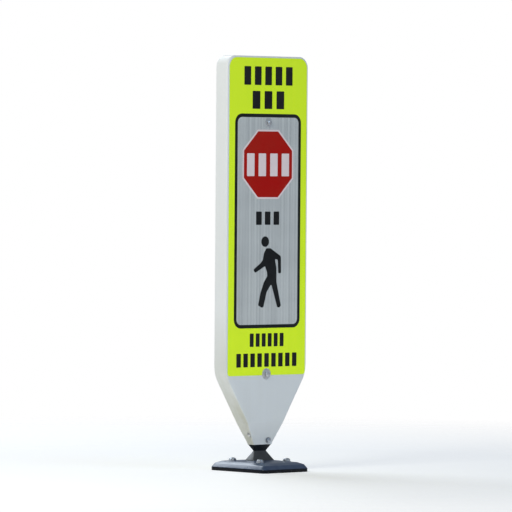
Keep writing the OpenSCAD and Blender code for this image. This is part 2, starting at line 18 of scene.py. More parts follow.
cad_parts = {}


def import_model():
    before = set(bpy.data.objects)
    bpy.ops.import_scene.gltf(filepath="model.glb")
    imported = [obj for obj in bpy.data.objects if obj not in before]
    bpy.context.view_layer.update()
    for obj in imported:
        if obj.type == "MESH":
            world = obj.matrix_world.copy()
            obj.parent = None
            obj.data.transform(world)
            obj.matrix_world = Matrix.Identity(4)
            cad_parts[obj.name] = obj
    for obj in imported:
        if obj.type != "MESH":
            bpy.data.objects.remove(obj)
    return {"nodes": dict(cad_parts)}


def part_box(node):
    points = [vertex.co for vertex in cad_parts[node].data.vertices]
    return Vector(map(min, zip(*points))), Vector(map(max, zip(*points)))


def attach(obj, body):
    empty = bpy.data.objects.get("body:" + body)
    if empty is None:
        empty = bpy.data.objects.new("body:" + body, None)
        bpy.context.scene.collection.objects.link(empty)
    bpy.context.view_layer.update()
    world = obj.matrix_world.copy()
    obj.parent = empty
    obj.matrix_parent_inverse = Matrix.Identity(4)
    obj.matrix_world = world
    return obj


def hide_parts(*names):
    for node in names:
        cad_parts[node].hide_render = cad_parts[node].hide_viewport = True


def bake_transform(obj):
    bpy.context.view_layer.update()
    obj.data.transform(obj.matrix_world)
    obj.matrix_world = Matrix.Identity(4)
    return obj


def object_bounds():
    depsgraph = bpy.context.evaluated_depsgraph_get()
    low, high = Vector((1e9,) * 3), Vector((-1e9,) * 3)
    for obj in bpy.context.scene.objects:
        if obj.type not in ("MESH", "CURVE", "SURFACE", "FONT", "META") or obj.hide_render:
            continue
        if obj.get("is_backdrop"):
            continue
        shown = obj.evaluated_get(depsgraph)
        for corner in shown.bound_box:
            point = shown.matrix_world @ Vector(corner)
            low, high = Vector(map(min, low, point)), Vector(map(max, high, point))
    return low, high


LOG = logging.getLogger("crossing_sign")
MM = 0.001

# Points nearer to each other than this are one point, in metres.
WELD = 1e-6
# Edges that turn by more than this stay crisp, in degrees.
CRISP = 32.0

Colour = tuple[float, float, float]
Triple = tuple[float, float, float]
Pair = tuple[float, float]
Socket = bpy.types.NodeSocket


class Body(Enum):
    """The two bodies that the hinge joins."""

    BASE = "base"
    SIGN = "sign"


class Side(Enum):
    """A face of the sign, with the way it points along Y."""

    FRONT = -1
    BACK = 1

    @property
    def word(self) -> str:
        """The side's name in the names of its pieces."""
        return self.name.lower()


# ---------------------------------------------------------------- node graphs


class Graph:
    """A material's node tree with short calls for what the finishes need."""

    def __init__(self, name: str) -> None:
        """Starts a material that holds one principled shader.

        Args:
            name: Name of the new material.
        """
        self.material = bpy.data.materials.new(name)
        self.material.use_nodes = True
        self.nodes = self.material.node_tree.nodes
        self.links = self.material.node_tree.links
        self.shader = self.nodes["Principled BSDF"]
        self.place = self.nodes.new("ShaderNodeTexCoord").outputs["Object"]

    def put(self, socket: str, value: object) -> None:
        """Sets one of the shader's sockets to a value or a colour, or links an output to it."""
        self._feed(self.shader.inputs[socket], value)

    def _feed(self, target: Socket, value: object) -> None:
        """Gives a socket a value or a link.

        Args:
            target: The socket.
            value: A plain value, a colour, or another node's output.
        """
        if isinstance(value, Socket):
            self.links.new(value, target)
        elif isinstance(value, tuple) and len(value) == 3 and target.type == "RGBA":
            target.default_value = (*value, 1.0)
        else:
            target.default_value = value

    def stretched(self, scale: Triple, turn: Triple = (0.0, 0.0, 0.0)) -> Socket:
        """Turns and scales the object coordinates.

        Args:
            scale: Factor along each axis.
            turn: Rotation about each axis, in radians.

        Returns:
            The new coordinates.
        """
        node = self.nodes.new("ShaderNodeMapping")
        self.links.new(self.place, node.inputs["Vector"])
        node.inputs["Scale"].default_value = scale
        node.inputs["Rotation"].default_value = turn
        return node.outputs["Vector"]

    def noise(self, scale: float, detail: float = 3.0, where: Socket | None = None) -> Socket:
        """Adds soft clouds.

        Args:
            scale: Clouds per metre.
            detail: Number of finer layers.
            where: Coordinates, or None for the object's own.

        Returns:
            A cloudy value between 0 and 1.
        """
        node = self.nodes.new("ShaderNodeTexNoise")
        node.inputs["Scale"].default_value = scale
        node.inputs["Detail"].default_value = detail
        self.links.new(where or self.place, node.inputs["Vector"])
        return node.outputs["Fac"]

    def math(self, way: str, a: object, b: object = 0.0, clamp: bool = False) -> Socket:
        """Adds one arithmetic step.

        Args:
            way: Name of the operation, such as MULTIPLY.
            a: First value or output.
            b: Second value or output.
            clamp: True to keep the result between 0 and 1.

        Returns:
            The result.
        """
        node = self.nodes.new("ShaderNodeMath")
        node.operation = way
        node.use_clamp = clamp
        self._feed(node.inputs[0], a)
        self._feed(node.inputs[1], b)
        return node.outputs[0]

    def span(
        self, value: object, low: float, high: float, to_low: float = 0.0, to_high: float = 1.0
    ) -> Socket:
        """Carries a value from one range to another, and holds it at the ends.

        Args:
            value: Output to carry over.
            low: Value that becomes to_low.
            high: Value that becomes to_high.
            to_low: Result at low.
            to_high: Result at high.

        Returns:
            The value in its new range.
        """
        node = self.nodes.new("ShaderNodeMapRange")
        self._feed(node.inputs["Value"], value)
        node.inputs["From Min"].default_value = low
        node.inputs["From Max"].default_value = high
        node.inputs["To Min"].default_value = to_low
        node.inputs["To Max"].default_value = to_high
        return node.outputs["Result"]

    def blend(self, share: object, a: object, b: object) -> Socket:
        """Mixes two colours.

        Args:
            share: How much of b shows.
            a: First colour or output.
            b: Second colour or output.

        Returns:
            A colour between a, at share 0, and b, at share 1.
        """
        node = self.nodes.new("ShaderNodeMix")
        node.data_type = "RGBA"
        self._feed(node.inputs["Factor"], share)
        self._feed(node.inputs[6], a)
        self._feed(node.inputs[7], b)
        return node.outputs[2]

    def axis(self, letter: str) -> Socket:
        """Picks one of the object coordinates.

        Args:
            letter: X, Y or Z.

        Returns:
            The coordinate, in metres.
        """
        node = self.nodes.new("ShaderNodeSeparateXYZ")
        self.links.new(self.place, node.inputs[0])
        return node.outputs[letter]

    def facing(self, letter: str) -> Socket:
        """Measures how far the surface faces along an axis.

        Args:
            letter: X, Y or Z.

        Returns:
            A value from -1 to 1.
        """
        geometry = self.nodes.new("ShaderNodeNewGeometry")
        node = self.nodes.new("ShaderNodeSeparateXYZ")
        self.links.new(geometry.outputs["Normal"], node.inputs[0])
        return node.outputs[letter]

    def bump(self, height: Socket, depth: float, under: Socket | None = None) -> Socket:
        """Adds relief.

        Args:
            height: Relief between 0 and 1.
            depth: Height of the relief in metres.
            under: Normal of a relief below this one.

        Returns:
            The normal with its relief.
        """
        node = self.nodes.new("ShaderNodeBump")
        node.inputs["Distance"].default_value = depth
        self.links.new(height, node.inputs["Height"])
        if under is not None:
            self.links.new(under, node.inputs["Normal"])
        return node.outputs["Normal"]


# ---------------------------------------------------------------- finishes


@dataclass(frozen=True)
class Finish(ABC):
    """A surface finish that can make its material.

    Attributes:
        slot: The record's material slot that it stands for.
    """

    slot: str

    def make(self) -> bpy.types.Material:
        """Makes a new material with this finish.

        Returns:
            The material.
        """
        graph = Graph(self.slot)
        self.paint(graph)
        return graph.material

    @abstractmethod
    def paint(self, graph: Graph) -> None:
        """Sets up the shader of a new material."""


@dataclass(frozen=True)
class MouldedShell(Finish):
    """Satin white plastic with fine mould grain, and a darker olive tone towards its foot that is partly
    road film and partly painted shade.

    Attributes:
        clean: Colour of the washed plastic.
        soiled: Colour of the road film, also used as painted shade: it darkens and warms the low,
            down-facing narrow sides.
        film_top: Height above the road up to which the film and the painted shade reach, in metres.
    """

    clean: Colour = (0.78, 0.80, 0.81)
    soiled: Colour = (0.46, 0.46, 0.36)
    film_top: float = 0.46

    def paint(self, graph: Graph) -> None:
        """Mixes the two colours by height and by drifting clouds, most of all on the narrow sides; the
        darkening is partly road film and partly painted shade.

        Args:
            graph: Node tree of the new material.
        """
        # painted shade: the low narrow sides, which face down and away from the light, take the soiled
        # colour; it stands partly for road film.
        sides = graph.span(graph.math("ABSOLUTE", graph.facing("X")), 0.3, 0.8, 0.25, 1.0)
        height = graph.math("MULTIPLY", graph.span(graph.axis("Z"), self.film_top, 0.16), sides)
        clouds = graph.span(graph.noise(9.0, 6.0), 0.32, 0.7, 0.6, 1.0)
        upright = graph.noise(1.0, 4.0, graph.stretched((60.0, 60.0, 3.0)))
        streaks = graph.span(upright, 0.35, 0.75, 0.7, 1.0)
        film = graph.math("MULTIPLY", graph.math("MULTIPLY", height, clouds), streaks, clamp=True)
        graph.put("Base Color", graph.blend(film, self.clean, self.soiled))
        graph.put("Roughness", graph.span(film, 0.0, 1.0, 0.38, 0.62))
        grain = graph.bump(graph.noise(1400.0, 2.0), 0.00006)
        graph.put("Normal", graph.bump(graph.noise(14.0, 2.0), 0.0006, grain))
        graph.put("Subsurface Weight", 0.06)
        graph.put("Subsurface Radius", (0.004, 0.004, 0.004))


@dataclass(frozen=True)
class Rubber(Finish):
    """Moulded black rubber, dusted on what faces up.

    Attributes:
        colour: Colour of the clean rubber.
        dust: Colour of the dust.
        amount: How much dust lies on a surface that faces straight up.
    """

    colour: Colour = (0.004, 0.006, 0.008)
    dust: Colour = (0.15, 0.16, 0.17)
    amount: float = 0.18

    def paint(self, graph: Graph) -> None:
        """Lays patchy dust over satin rubber.

        Args:
            graph: Node tree of the new material.
        """
        patches = graph.span(graph.noise(55.0, 8.0), 0.35, 0.72, 0.2, 1.0)
        dusty = graph.math("MULTIPLY", graph.span(graph.facing("Z"), 0.0, 0.9, 0.06, self.amount), patches)
        graph.put("Base Color", graph.blend(dusty, self.colour, self.dust))
        graph.put("Roughness", graph.span(dusty, 0.0, 0.5, 0.28, 0.55))
        graph.put("Specular IOR Level", graph.span(graph.facing("Z"), 0.0, 0.4, 0.2, 0.9))
        pores = graph.bump(graph.noise(900.0, 3.0), 0.00005)
        graph.put("Normal", graph.bump(graph.noise(60.0, 3.0), 0.0004, pores))


@dataclass(frozen=True)
class BaseCoat(Finish):
    """Glossy black coating over a sand casting, dusty and scuffed, with a painted sky reflection on what
    faces up.

    Attributes:
        colour: Colour of the coating.
        faded: Painted sky reflection, a blue tint on what faces up.
        dust: Colour of the dust and scuffs; its blue cast partly paints the sheen of the up-facing slopes.
    """

    colour: Colour = (0.003, 0.004, 0.007)
    faded: Colour = (0.011, 0.032, 0.082)
    dust: Colour = (0.20, 0.25, 0.32)

    def paint(self, graph: Graph) -> None:
        """Lays dust, pits and scuffs over the gloss, and paints a sky reflection on what faces up.

        Args:
            graph: Node tree of the new material.
        """
        patches = graph.span(graph.noise(38.0, 9.0), 0.3, 0.8, 0.1, 0.9)
        slanted = graph.stretched((400.0, 90.0, 90.0), (0.0, 0.0, 0.6))
        scuffs = graph.span(graph.noise(1.0, 5.0, slanted), 0.62, 0.78)
        # dust and painted sheen: blue-grey dust on up-facing surfaces, which also stands for the sky's sheen
        # on the slopes.
        dusty = graph.math("MULTIPLY", graph.span(graph.facing("Z"), 0.1, 1.0, 0.0, 0.26), patches)
        marks = graph.math("MAXIMUM", dusty, graph.math("MULTIPLY", scuffs, 0.2), clamp=True)
        # painted reflection: up-facing surfaces turn from black towards the faded blue, as if they mirrored
        # the sky.
        coat_and_sky_tint = graph.blend(graph.span(graph.facing("Z"), 0.1, 0.6), self.colour, self.faded)
        graph.put("Base Color", graph.blend(marks, coat_and_sky_tint, self.dust))
        graph.put("Roughness", graph.span(marks, 0.0, 0.4, 0.26, 0.5))
        graph.put("Specular IOR Level", graph.span(graph.facing("Z"), 0.1, 0.5, 0.15, 0.8))
        sand = graph.bump(graph.noise(320.0, 3.0), 0.00008)
        graph.put("Normal", graph.bump(graph.noise(45.0, 3.0), 0.0005, sand))


@dataclass(frozen=True)
class PlatedSteel(Finish):
    """Plated steel with a crystalline bloom.

    Attributes:
        bright: Colour where the plating is fresh.
        dull: Colour where it has weathered.
        roughness: Roughness of the fresh plating.
    """

    bright: Colour = (0.72, 0.73, 0.74)
    dull: Colour = (0.50, 0.50, 0.50)
    roughness: float = 0.32

    def paint(self, graph: Graph) -> None:
        """Mixes fresh and weathered plating.

        Args:
            graph: Node tree of the new material.
        """
        bloom = graph.span(graph.noise(240.0, 6.0), 0.35, 0.7)
        graph.put("Metallic", 1.0)
        graph.put("Base Color", graph.blend(bloom, self.bright, self.dull))
        graph.put("Roughness", graph.span(bloom, 0.0, 1.0, self.roughness, self.roughness + 0.22))
        graph.put("Normal", graph.bump(graph.noise(1600.0, 2.0), 0.00003))


@dataclass(frozen=True)
class PrismFilm(Finish):
    """Retroreflective film: a clear face over a lattice of fine prisms.

    Attributes:
        colour: Colour of the film between its seams.
        shade: Colour in the darker streaks.
        glow: Light that a fluorescent film adds.
        glow_strength: Strength of that light.
        streak: Share of the darker colour in a full streak.
        ribs: Strength of the even upright ribs.
        pitch: Width of a prism cell, in metres.
        rib_pitch: Distance between ribs, in metres.
    """

    colour: Colour
    shade: Colour
    glow: Colour = (0.0, 0.0, 0.0)
    glow_strength: float = 0.0
    streak: float = 0.5
    ribs: float = 0.0
    pitch: float = 0.0042
    rib_pitch: float = 0.0115

    def paint(self, graph: Graph) -> None:
        """Draws the seams of the cells and the upright streaks of the roll.

        Args:
            graph: Node tree of the new material.
        """
        turned = graph.stretched((1.0, 0.0, 1.0), (0.0, math.radians(45.0), 0.0))
        split = graph.nodes.new("ShaderNodeSeparateXYZ")
        graph.links.new(turned, split.inputs[0])
        ridges = [
            graph.math("PINGPONG", graph.math("DIVIDE", split.outputs[letter], self.pitch), 0.5)
            for letter in ("X", "Z")
        ]
        seam = graph.span(graph.math("MINIMUM", *ridges), 0.03, 0.09)
        roll = graph.span(graph.noise(1.0, 2.0, graph.stretched((95.0, 1.0, 1.2))), 0.36, 0.66)
        bands = graph.span(graph.noise(1.0, 1.0, graph.stretched((0.8, 1.0, 14.0))), 0.4, 0.62)
        rib = graph.math("PINGPONG", graph.math("DIVIDE", graph.axis("X"), self.rib_pitch), 0.5)
        rolled = graph.math("ADD", roll, graph.math("MULTIPLY", bands, 0.35))
        ribbed = graph.math("ADD", rolled, graph.math("MULTIPLY", rib, self.ribs))
        tone = graph.math("MULTIPLY", ribbed, self.streak)
        inner = graph.blend(graph.math("MINIMUM", tone, 1.0), self.colour, self.shade)
        light = tuple(min(1.0, channel * 1.12 + 0.01) for channel in self.colour)
        graph.put("Base Color", graph.blend(seam, light, inner))
        graph.put("Roughness", graph.span(graph.noise(420.0, 3.0), 0.3, 0.7, 0.2, 0.34))
        lens = graph.bump(seam, 0.00004)
        graph.put("Normal", graph.bump(graph.noise(22.0, 2.0), 0.00025, lens))
        graph.put("Coat Weight", 0.25)
        graph.put("Coat Roughness", 0.1)
        graph.put("Emission Color", self.glow)
        graph.put("Emission Strength", self.glow_strength)


@dataclass(frozen=True)
class PrintFilm(Finish):
    """Opaque or translucent cut film, laid over the sheeting.

    Attributes:
        colour: Colour of the film.
        worn: Colour where sun and road film have dulled it.
    """

    colour: Colour
    worn: Colour

    def paint(self, graph: Graph) -> None:
        """Dulls the film in soft patches.

        Args:
            graph: Node tree of the new material.
        """
        patches = graph.span(graph.noise(16.0, 5.0), 0.35, 0.75, 0.0, 0.8)
        graph.put("Base Color", graph.blend(patches, self.colour, self.worn))
        graph.put("Roughness", graph.span(graph.noise(300.0, 4.0), 0.3, 0.7, 0.22, 0.4))
        graph.put("Specular IOR Level", 0.12)
        graph.put("Normal", graph.bump(graph.noise(26.0, 2.0), 0.0002))


@dataclass(frozen=True)
class RolledSheet(Finish):
    """Flat aluminium with its rolling lines.

    Attributes:
        colour: Colour of the bright metal.
        line: Colour in a rolling line.
    """

    colour: Colour = (0.78, 0.79, 0.80)
    line: Colour = (0.66, 0.67, 0.68)

    def paint(self, graph: Graph) -> None:
        """Draws fine upright lines.

        Args:
            graph: Node tree of the new material.
        """
        lines = graph.noise(1.0, 3.0, graph.stretched((1500.0, 1500.0, 12.0)))
        graph.put("Metallic", 1.0)
        graph.put("Base Color", graph.blend(graph.span(lines, 0.3, 0.7), self.colour, self.line))
        graph.put("Roughness", graph.span(lines, 0.3, 0.7, 0.32, 0.46))


@dataclass(frozen=True)
class PlainMoulding(Finish):
    """Black moulded plastic that is hidden in use.

    Attributes:
        colour: Colour of the plastic.
        pale: Colour where it is mottled.
    """

    colour: Colour = (0.03, 0.03, 0.032)
    pale: Colour = (0.05, 0.05, 0.052)

    def paint(self, graph: Graph) -> None:
        """Gives the moulding a dry, faintly mottled skin.

        Args:
            graph: Node tree of the new material.
        """
        mottle = graph.span(graph.noise(120.0, 4.0), 0.35, 0.7)
        graph.put("Base Color", graph.blend(mottle, self.colour, self.pale))
        graph.put("Roughness", graph.span(mottle, 0.0, 1.0, 0.5, 0.65))
        graph.put("Normal", graph.bump(graph.noise(900.0, 2.0), 0.00006))


class Palette:
    """Every finish of the sign, each made into one shared material when it is first used."""

    def __init__(self) -> None:
        """Lists the finishes by slot."""
        finishes = (
            MouldedShell("body_plastic"),
            Rubber("hinge_rubber"),
            BaseCoat("base_black"),
            PlatedSteel("zinc_steel"),
            PlatedSteel("anchor_steel", (0.50, 0.53, 0.58), (0.26, 0.28, 0.31), 0.22),
            RolledSheet("panel_aluminium"),
            PlainMoulding("insert_plastic"),
            PrismFilm("lime_film", (0.80, 0.98, 0.006), (0.72, 0.90, 0.004), (0.35, 1.0, 0.0), 0.10, 0.45),
            PrismFilm("silver_film", (0.63, 0.645, 0.625), (0.40, 0.415, 0.41), streak=0.55, ribs=1.4),
            PrintFilm("white_film", (0.90, 0.76, 0.75), (0.84, 0.69, 0.68)),
            PrintFilm("red_film", (0.46, 0.005, 0.003), (0.42, 0.018, 0.008)),
            PrintFilm("black_film", (0.010, 0.011, 0.012), (0.024, 0.026, 0.026)),
        )
        self._finishes = {finish.slot: finish for finish in finishes}
        self._made: dict[str, bpy.types.Material] = {}

    def material(self, slot: str) -> bpy.types.Material:
        """Makes a slot's material when it is first asked for.

        Args:
            slot: One of the record's material slots.

        Returns:
            The material that every piece in the slot shares.
        """
        if slot not in self._made:
            self._made[slot] = self._finishes[slot].make()
        return self._made[slot]


# ---------------------------------------------------------------- mesh work


def rounded_rect(half_x: float, half_y: float, radius: float, z: float, steps: int = 6) -> list[Vector]:
    """Returns a level ring in the shape of a rounded rectangle.

    Args:
        half_x: Half its width.
        half_y: Half its depth.
        radius: Corner radius.
        z: Height.
        steps: Segments in each corner.

    Returns:
        Points from the +X+Y corner round against the clock.
    """
    ring = []
    for corner, (sx, sy) in enumerate(((1, 1), (-1, 1), (-1, -1), (1, -1))):
        centre = Vector((sx * (half_x - radius), sy * (half_y - radius), z))
        for step in range(steps + 1):
            angle = math.radians(90.0 * (corner + step / steps))
            ring.append(centre + Vector((math.cos(angle), math.sin(angle), 0.0)) * radius)
    return ring


def level_ring(
    radius_at: Callable[[float], float], z_at: Callable[[float], float], count: int
) -> list[Vector]:
    """Returns a ring round the Z axis.

    Args:
        radius_at: Radius at an angle in radians.
        z_at: Height at an angle in radians.
        count: Number of points.

    Returns:
        Points from the +X axis round against the clock.
    """
    ring = []
    for step in range(count):
        angle = 2.0 * math.pi * step / count
        radius = radius_at(angle)
        ring.append(Vector((radius * math.cos(angle), radius * math.sin(angle), z_at(angle))))
    return ring


@dataclass
class Draft:
    """Points and faces of one mesh while it is being built."""

    points: list[Vector] = field(default_factory=list)
    faces: list[tuple[int, ...]] = field(default_factory=list)

    def row(self, points: Iterable[Vector]) -> list[int]:
        """Adds points.

        Args:
            points: The points of one row.

        Returns:
            Their numbers.
        """
        start = len(self.points)
        self.points.extend(Vector(point) for point in points)
        return list(range(start, len(self.points)))

    def bridge(self, a: Sequence[int], b: Sequence[int], closed: bool = True) -> None:
        """Joins two rows of the same length by a strip.

        Args:
            a: Numbers of the first row.
            b: Numbers of the second row.
            closed: True if the rows are rings.
        """
        count = len(a)
        for i in range(count if closed else count - 1):
            j = (i + 1) % count
            self.faces.append((a[i], a[j], b[j], b[i]))

    def cap(self, ring: Sequence[int]) -> None:
        """Closes a ring with one face."""
        self.faces.append(tuple(ring))

    def loft(self, rings: Sequence[Sequence[Vector]], cap_first: bool = True, cap_last: bool = True) -> None:
        """Joins rings one after another.

        Args:
            rings: Rings with the same number of points.
            cap_first: True to close the first ring.
            cap_last: True to close the last ring.
        """
        rows = [self.row(ring) for ring in rings]
        for a, b in zip(rows, rows[1:]):
            self.bridge(a, b)
        if cap_first:
            self.cap(rows[0])
        if cap_last:
            self.cap(rows[-1])

    def moved(self, matrix: Matrix) -> "Draft":
        """Returns a copy carried by a matrix."""
        return Draft([matrix @ point for point in self.points], list(self.faces))

    def join(self, other: "Draft") -> None:
        """Adds another draft as a separate shell.

        Args:
            other: Draft whose points and faces are added.
        """
        start = len(self.points)
        self.points.extend(other.points)
        self.faces.extend(tuple(i + start for i in face) for face in other.faces)

    def build(self, name: str, sharp: float = CRISP) -> bpy.types.Object:
        """Makes a smooth-shaded object.

        Args:
            name: Name of the object.
            sharp: Edges that turn by more than this many degrees stay crisp.

        Returns:
            The object, in the scene.
        """
        mesh = bpy.data.meshes.new(name)
        work = bmesh.new()
        corners = [work.verts.new(point) for point in self.points]
        for face in self.faces:
            work.faces.new([corners[i] for i in face])
        bmesh.ops.remove_doubles(work, verts=work.verts, dist=WELD)
        bmesh.ops.recalc_face_normals(work, faces=work.faces)
        work.to_mesh(mesh)
        work.free()
        mesh.shade_smooth()
        mesh.set_sharp_from_angle(angle=math.radians(sharp))
        piece = bpy.data.objects.new(name, mesh)
        bpy.context.scene.collection.objects.link(piece)
        return piece


def rod(radius: float, low: float, high: float, count: int = 48) -> Draft:
    """Returns a plain closed rod along Z, for shanks and for cutting recesses.

    Args:
        radius: Its radius.
        low: Height at which it starts.
        high: Height of its end.
        count: Segments round the axis.

    Returns:
        The rod.
    """
    draft = Draft()
    draft.loft([level_ring(lambda _: radius, lambda _, z=z: z, count) for z in (low, high)])
    return draft


def turned(profile: Sequence[Pair], count: int = 48) -> Draft:
    """Returns a closed ring-shaped solid turned round the Z axis.

    Args:
        profile: Radius and height of each point of a closed section.
        count: Segments round the axis.

    Returns:
        The solid.
    """
    draft = Draft()
    rows = [draft.row(level_ring(lambda _, r=r: r, lambda _, z=z: z, count)) for r, z in profile]
    for a, b in zip(rows, rows[1:] + rows[:1]):
        draft.bridge(a, b)
    return draft


def washer(outer: float, inner: float, height: float) -> Draft:
    """Returns a washer on the plane z = 0, with its edges eased.

    Args:
        outer: Its outside radius.
        inner: Radius of its hole.
        height: Its thickness.

    Returns:
        The washer.
    """
    ease = min(0.4 * MM, height / 4)
    return turned(
        [
            (inner, 0.0), (outer - ease, 0.0), (outer, ease), (outer, height - ease),
            (outer - ease, height), (inner + ease, height), (inner, height - ease),
        ]
    )


@dataclass(frozen=True)
class HexHead:
    """A six-sided head or nut that stands on the plane z = 0.

    Attributes:
        flats: Width across the flats.
        height: Height of the six-sided part.
        dome: Height of a domed top, or 0 for a flat one.
        bore: Radius of a hole, or 0 for none.
        count: Points round each ring.
        dome_steps: Rings in a domed top.
        bore_ease: Chamfer round the hole.
    """

    flats: float
    height: float
    dome: float = 0.0
    bore: float = 0.0
    count: int = 72
    dome_steps: int = 8
    bore_ease: float = 0.5 * MM

    def _reach(self, angle: float) -> float:
        """Distance from the axis to the hexagon at an angle."""
        sixth = math.radians(60.0)
        return self.flats / 2 / math.cos((angle + sixth / 2) % sixth - sixth / 2)

    def draft(self) -> Draft:
        """Draws the head, with the curved chamfer that a turned blank leaves on its corners.

        Returns:
            The head as one closed shell.
        """
        crown = self.flats / 2 * 0.96
        lean = math.tan(math.radians(28.0))

        def chamfer(angle: float) -> float:
            """Returns the height of the upper edge at an angle."""
            return self.height - max(0.0, self._reach(angle) - crown) * lean

        def foot(angle: float) -> float:
            """Returns the height of the lower edge at an angle."""
            return max(0.0, self._reach(angle) - self.flats / 2) * 0.25

        rings = [
            level_ring(lambda a: self._reach(a) * 0.93, lambda _: 0.0, self.count),
            level_ring(self._reach, foot, self.count),
            level_ring(self._reach, chamfer, self.count),
            level_ring(lambda _: crown, lambda _: self.height, self.count),
        ]
        for step in range(1, self.dome_steps if self.dome else 1):
            angle = math.radians(90.0 * step / self.dome_steps)
            rings.append(
                level_ring(
                    lambda _, t=angle: crown * math.cos(t),
                    lambda _, t=angle: self.height + self.dome * math.sin(t),
                    self.count,
                )
            )
        draft = Draft()
        if self.bore:
            rings.append(level_ring(lambda _: self.bore + self.bore_ease, lambda _: self.height, self.count))
            rings.append(level_ring(lambda _: self.bore, lambda _: self.height - self.bore_ease, self.count))
            rings.append(level_ring(lambda _: self.bore, lambda _: 0.0, self.count))
            rows = [draft.row(ring) for ring in rings]
            for a, b in zip(rows, rows[1:] + rows[:1]):
                draft.bridge(a, b)
        else:
            draft.loft(rings)
        return draft


def threaded_end(radius: float, low: float, high: float, pitch: float = 1.25 * MM) -> Draft:
    """Returns the end of a bolt, with a groove for each turn of its thread.

    Args:
        radius: Outside radius.
        low: Height at which it starts.
        high: Height of its end.
        pitch: Distance between turns.

    Returns:
        The end as one closed shell.
    """
    root = radius - 0.6 * pitch
    rings = [(root, low)]
    z = low + pitch / 2
    while z < high - pitch:
        rings += [(radius, z), (root, z + pitch / 2)]
        z += pitch
    rings += [(radius, z), (radius * 0.8, high)]
    draft = Draft()
    draft.loft([level_ring(lambda _, r=r: r, lambda _, z=z: z, 36) for r, z in rings])
    return draft


def along_y(side: Side, x: float, y: float, z: float) -> Matrix:
    """Returns a matrix that lays a piece's Z axis outwards along Y, from a point on one side."""
    turn = Matrix.Rotation(math.radians(-90.0 * side.value), 4, "X")
    return Matrix.Translation((x, y, z)) @ turn


def along_x(way: int, x: float, y: float, z: float) -> Matrix:
    """Returns a matrix that lays a piece's Z axis outwards along X, to the right for way 1."""
    return Matrix.Translation((x, y, z)) @ Matrix.Rotation(math.radians(90.0 * way), 4, "Y")


def carve(piece: bpy.types.Object, cutters: Sequence[Draft]) -> None:
    """Cuts recesses out of a piece.

    Args:
        piece: The piece to cut.
        cutters: Closed solids to take away.
    """
    for number, cutter in enumerate(cutters):
        tool = cutter.build(f"{piece.name}_cut_{number}")
        cut = piece.modifiers.new("cut", "BOOLEAN")
        cut.operation = "DIFFERENCE"
        cut.solver = "EXACT"
        cut.object = tool
        graph = bpy.context.evaluated_depsgraph_get()
        mesh = bpy.data.meshes.new_from_object(piece.evaluated_get(graph), depsgraph=graph)
        piece.modifiers.remove(cut)
        piece.data = mesh
        bpy.data.objects.remove(tool)
    piece.data.shade_smooth()
    piece.data.set_sharp_from_angle(angle=math.radians(CRISP))


# ---------------------------------------------------------------- sub-assemblies


@dataclass
class Box:
    """A node's box at rest, in metres."""

    low: Vector
    high: Vector

    @classmethod
    def of(cls, node: str) -> "Box":
        """Returns the box of a node of the frame."""
        low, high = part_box(node)
        return cls(Vector(low), Vector(high))

    @property
    def size(self) -> Vector:
        """Width, depth and height."""
        return self.high - self.low


@dataclass
class SubAssembly(ABC):
    """Something that builds pieces and dresses nodes.

    Attributes:
        palette: Where the finishes come from.
        nodes: The frame's nodes by name.
    """

    palette: Palette
    nodes: dict[str, bpy.types.Object]

    @abstractmethod
    def build(self) -> None:
        """Builds every piece of the sub-assembly."""

    def seat(self, piece: bpy.types.Object, slot: str, body: Body, *nodes: str) -> None:
        """Finishes a piece, rides it on a body and lets it stand for nodes.

        Args:
            piece: A new piece.
            slot: The record's material slot.
            body: Body that carries it.
            *nodes: Nodes that it stands for.
        """
        piece.data.materials.clear()
        piece.data.materials.append(self.palette.material(slot))
        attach(piece, body.value)
        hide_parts(*nodes)
        LOG.info("piece %s: %d faces", piece.name, len(piece.data.polygons))

    def dress(self, node: str, slot: str) -> None:
        """Gives a node of the frame its finish.

        Args:
            node: Name of the node.
            slot: The record's material slot.
        """
        piece = self.nodes[node]
        material = self.palette.material(slot)
        if not piece.material_slots:
            piece.data.materials.append(material)
        for place in piece.material_slots:
            place.material = material
        LOG.info("node %s: %s", node, slot)


@dataclass
class OutlinePoint:
    """A point of the body's front outline, with the inward normal there."""

    x: float
    z: float
    nx: float = 0.0
    nz: float = 0.0


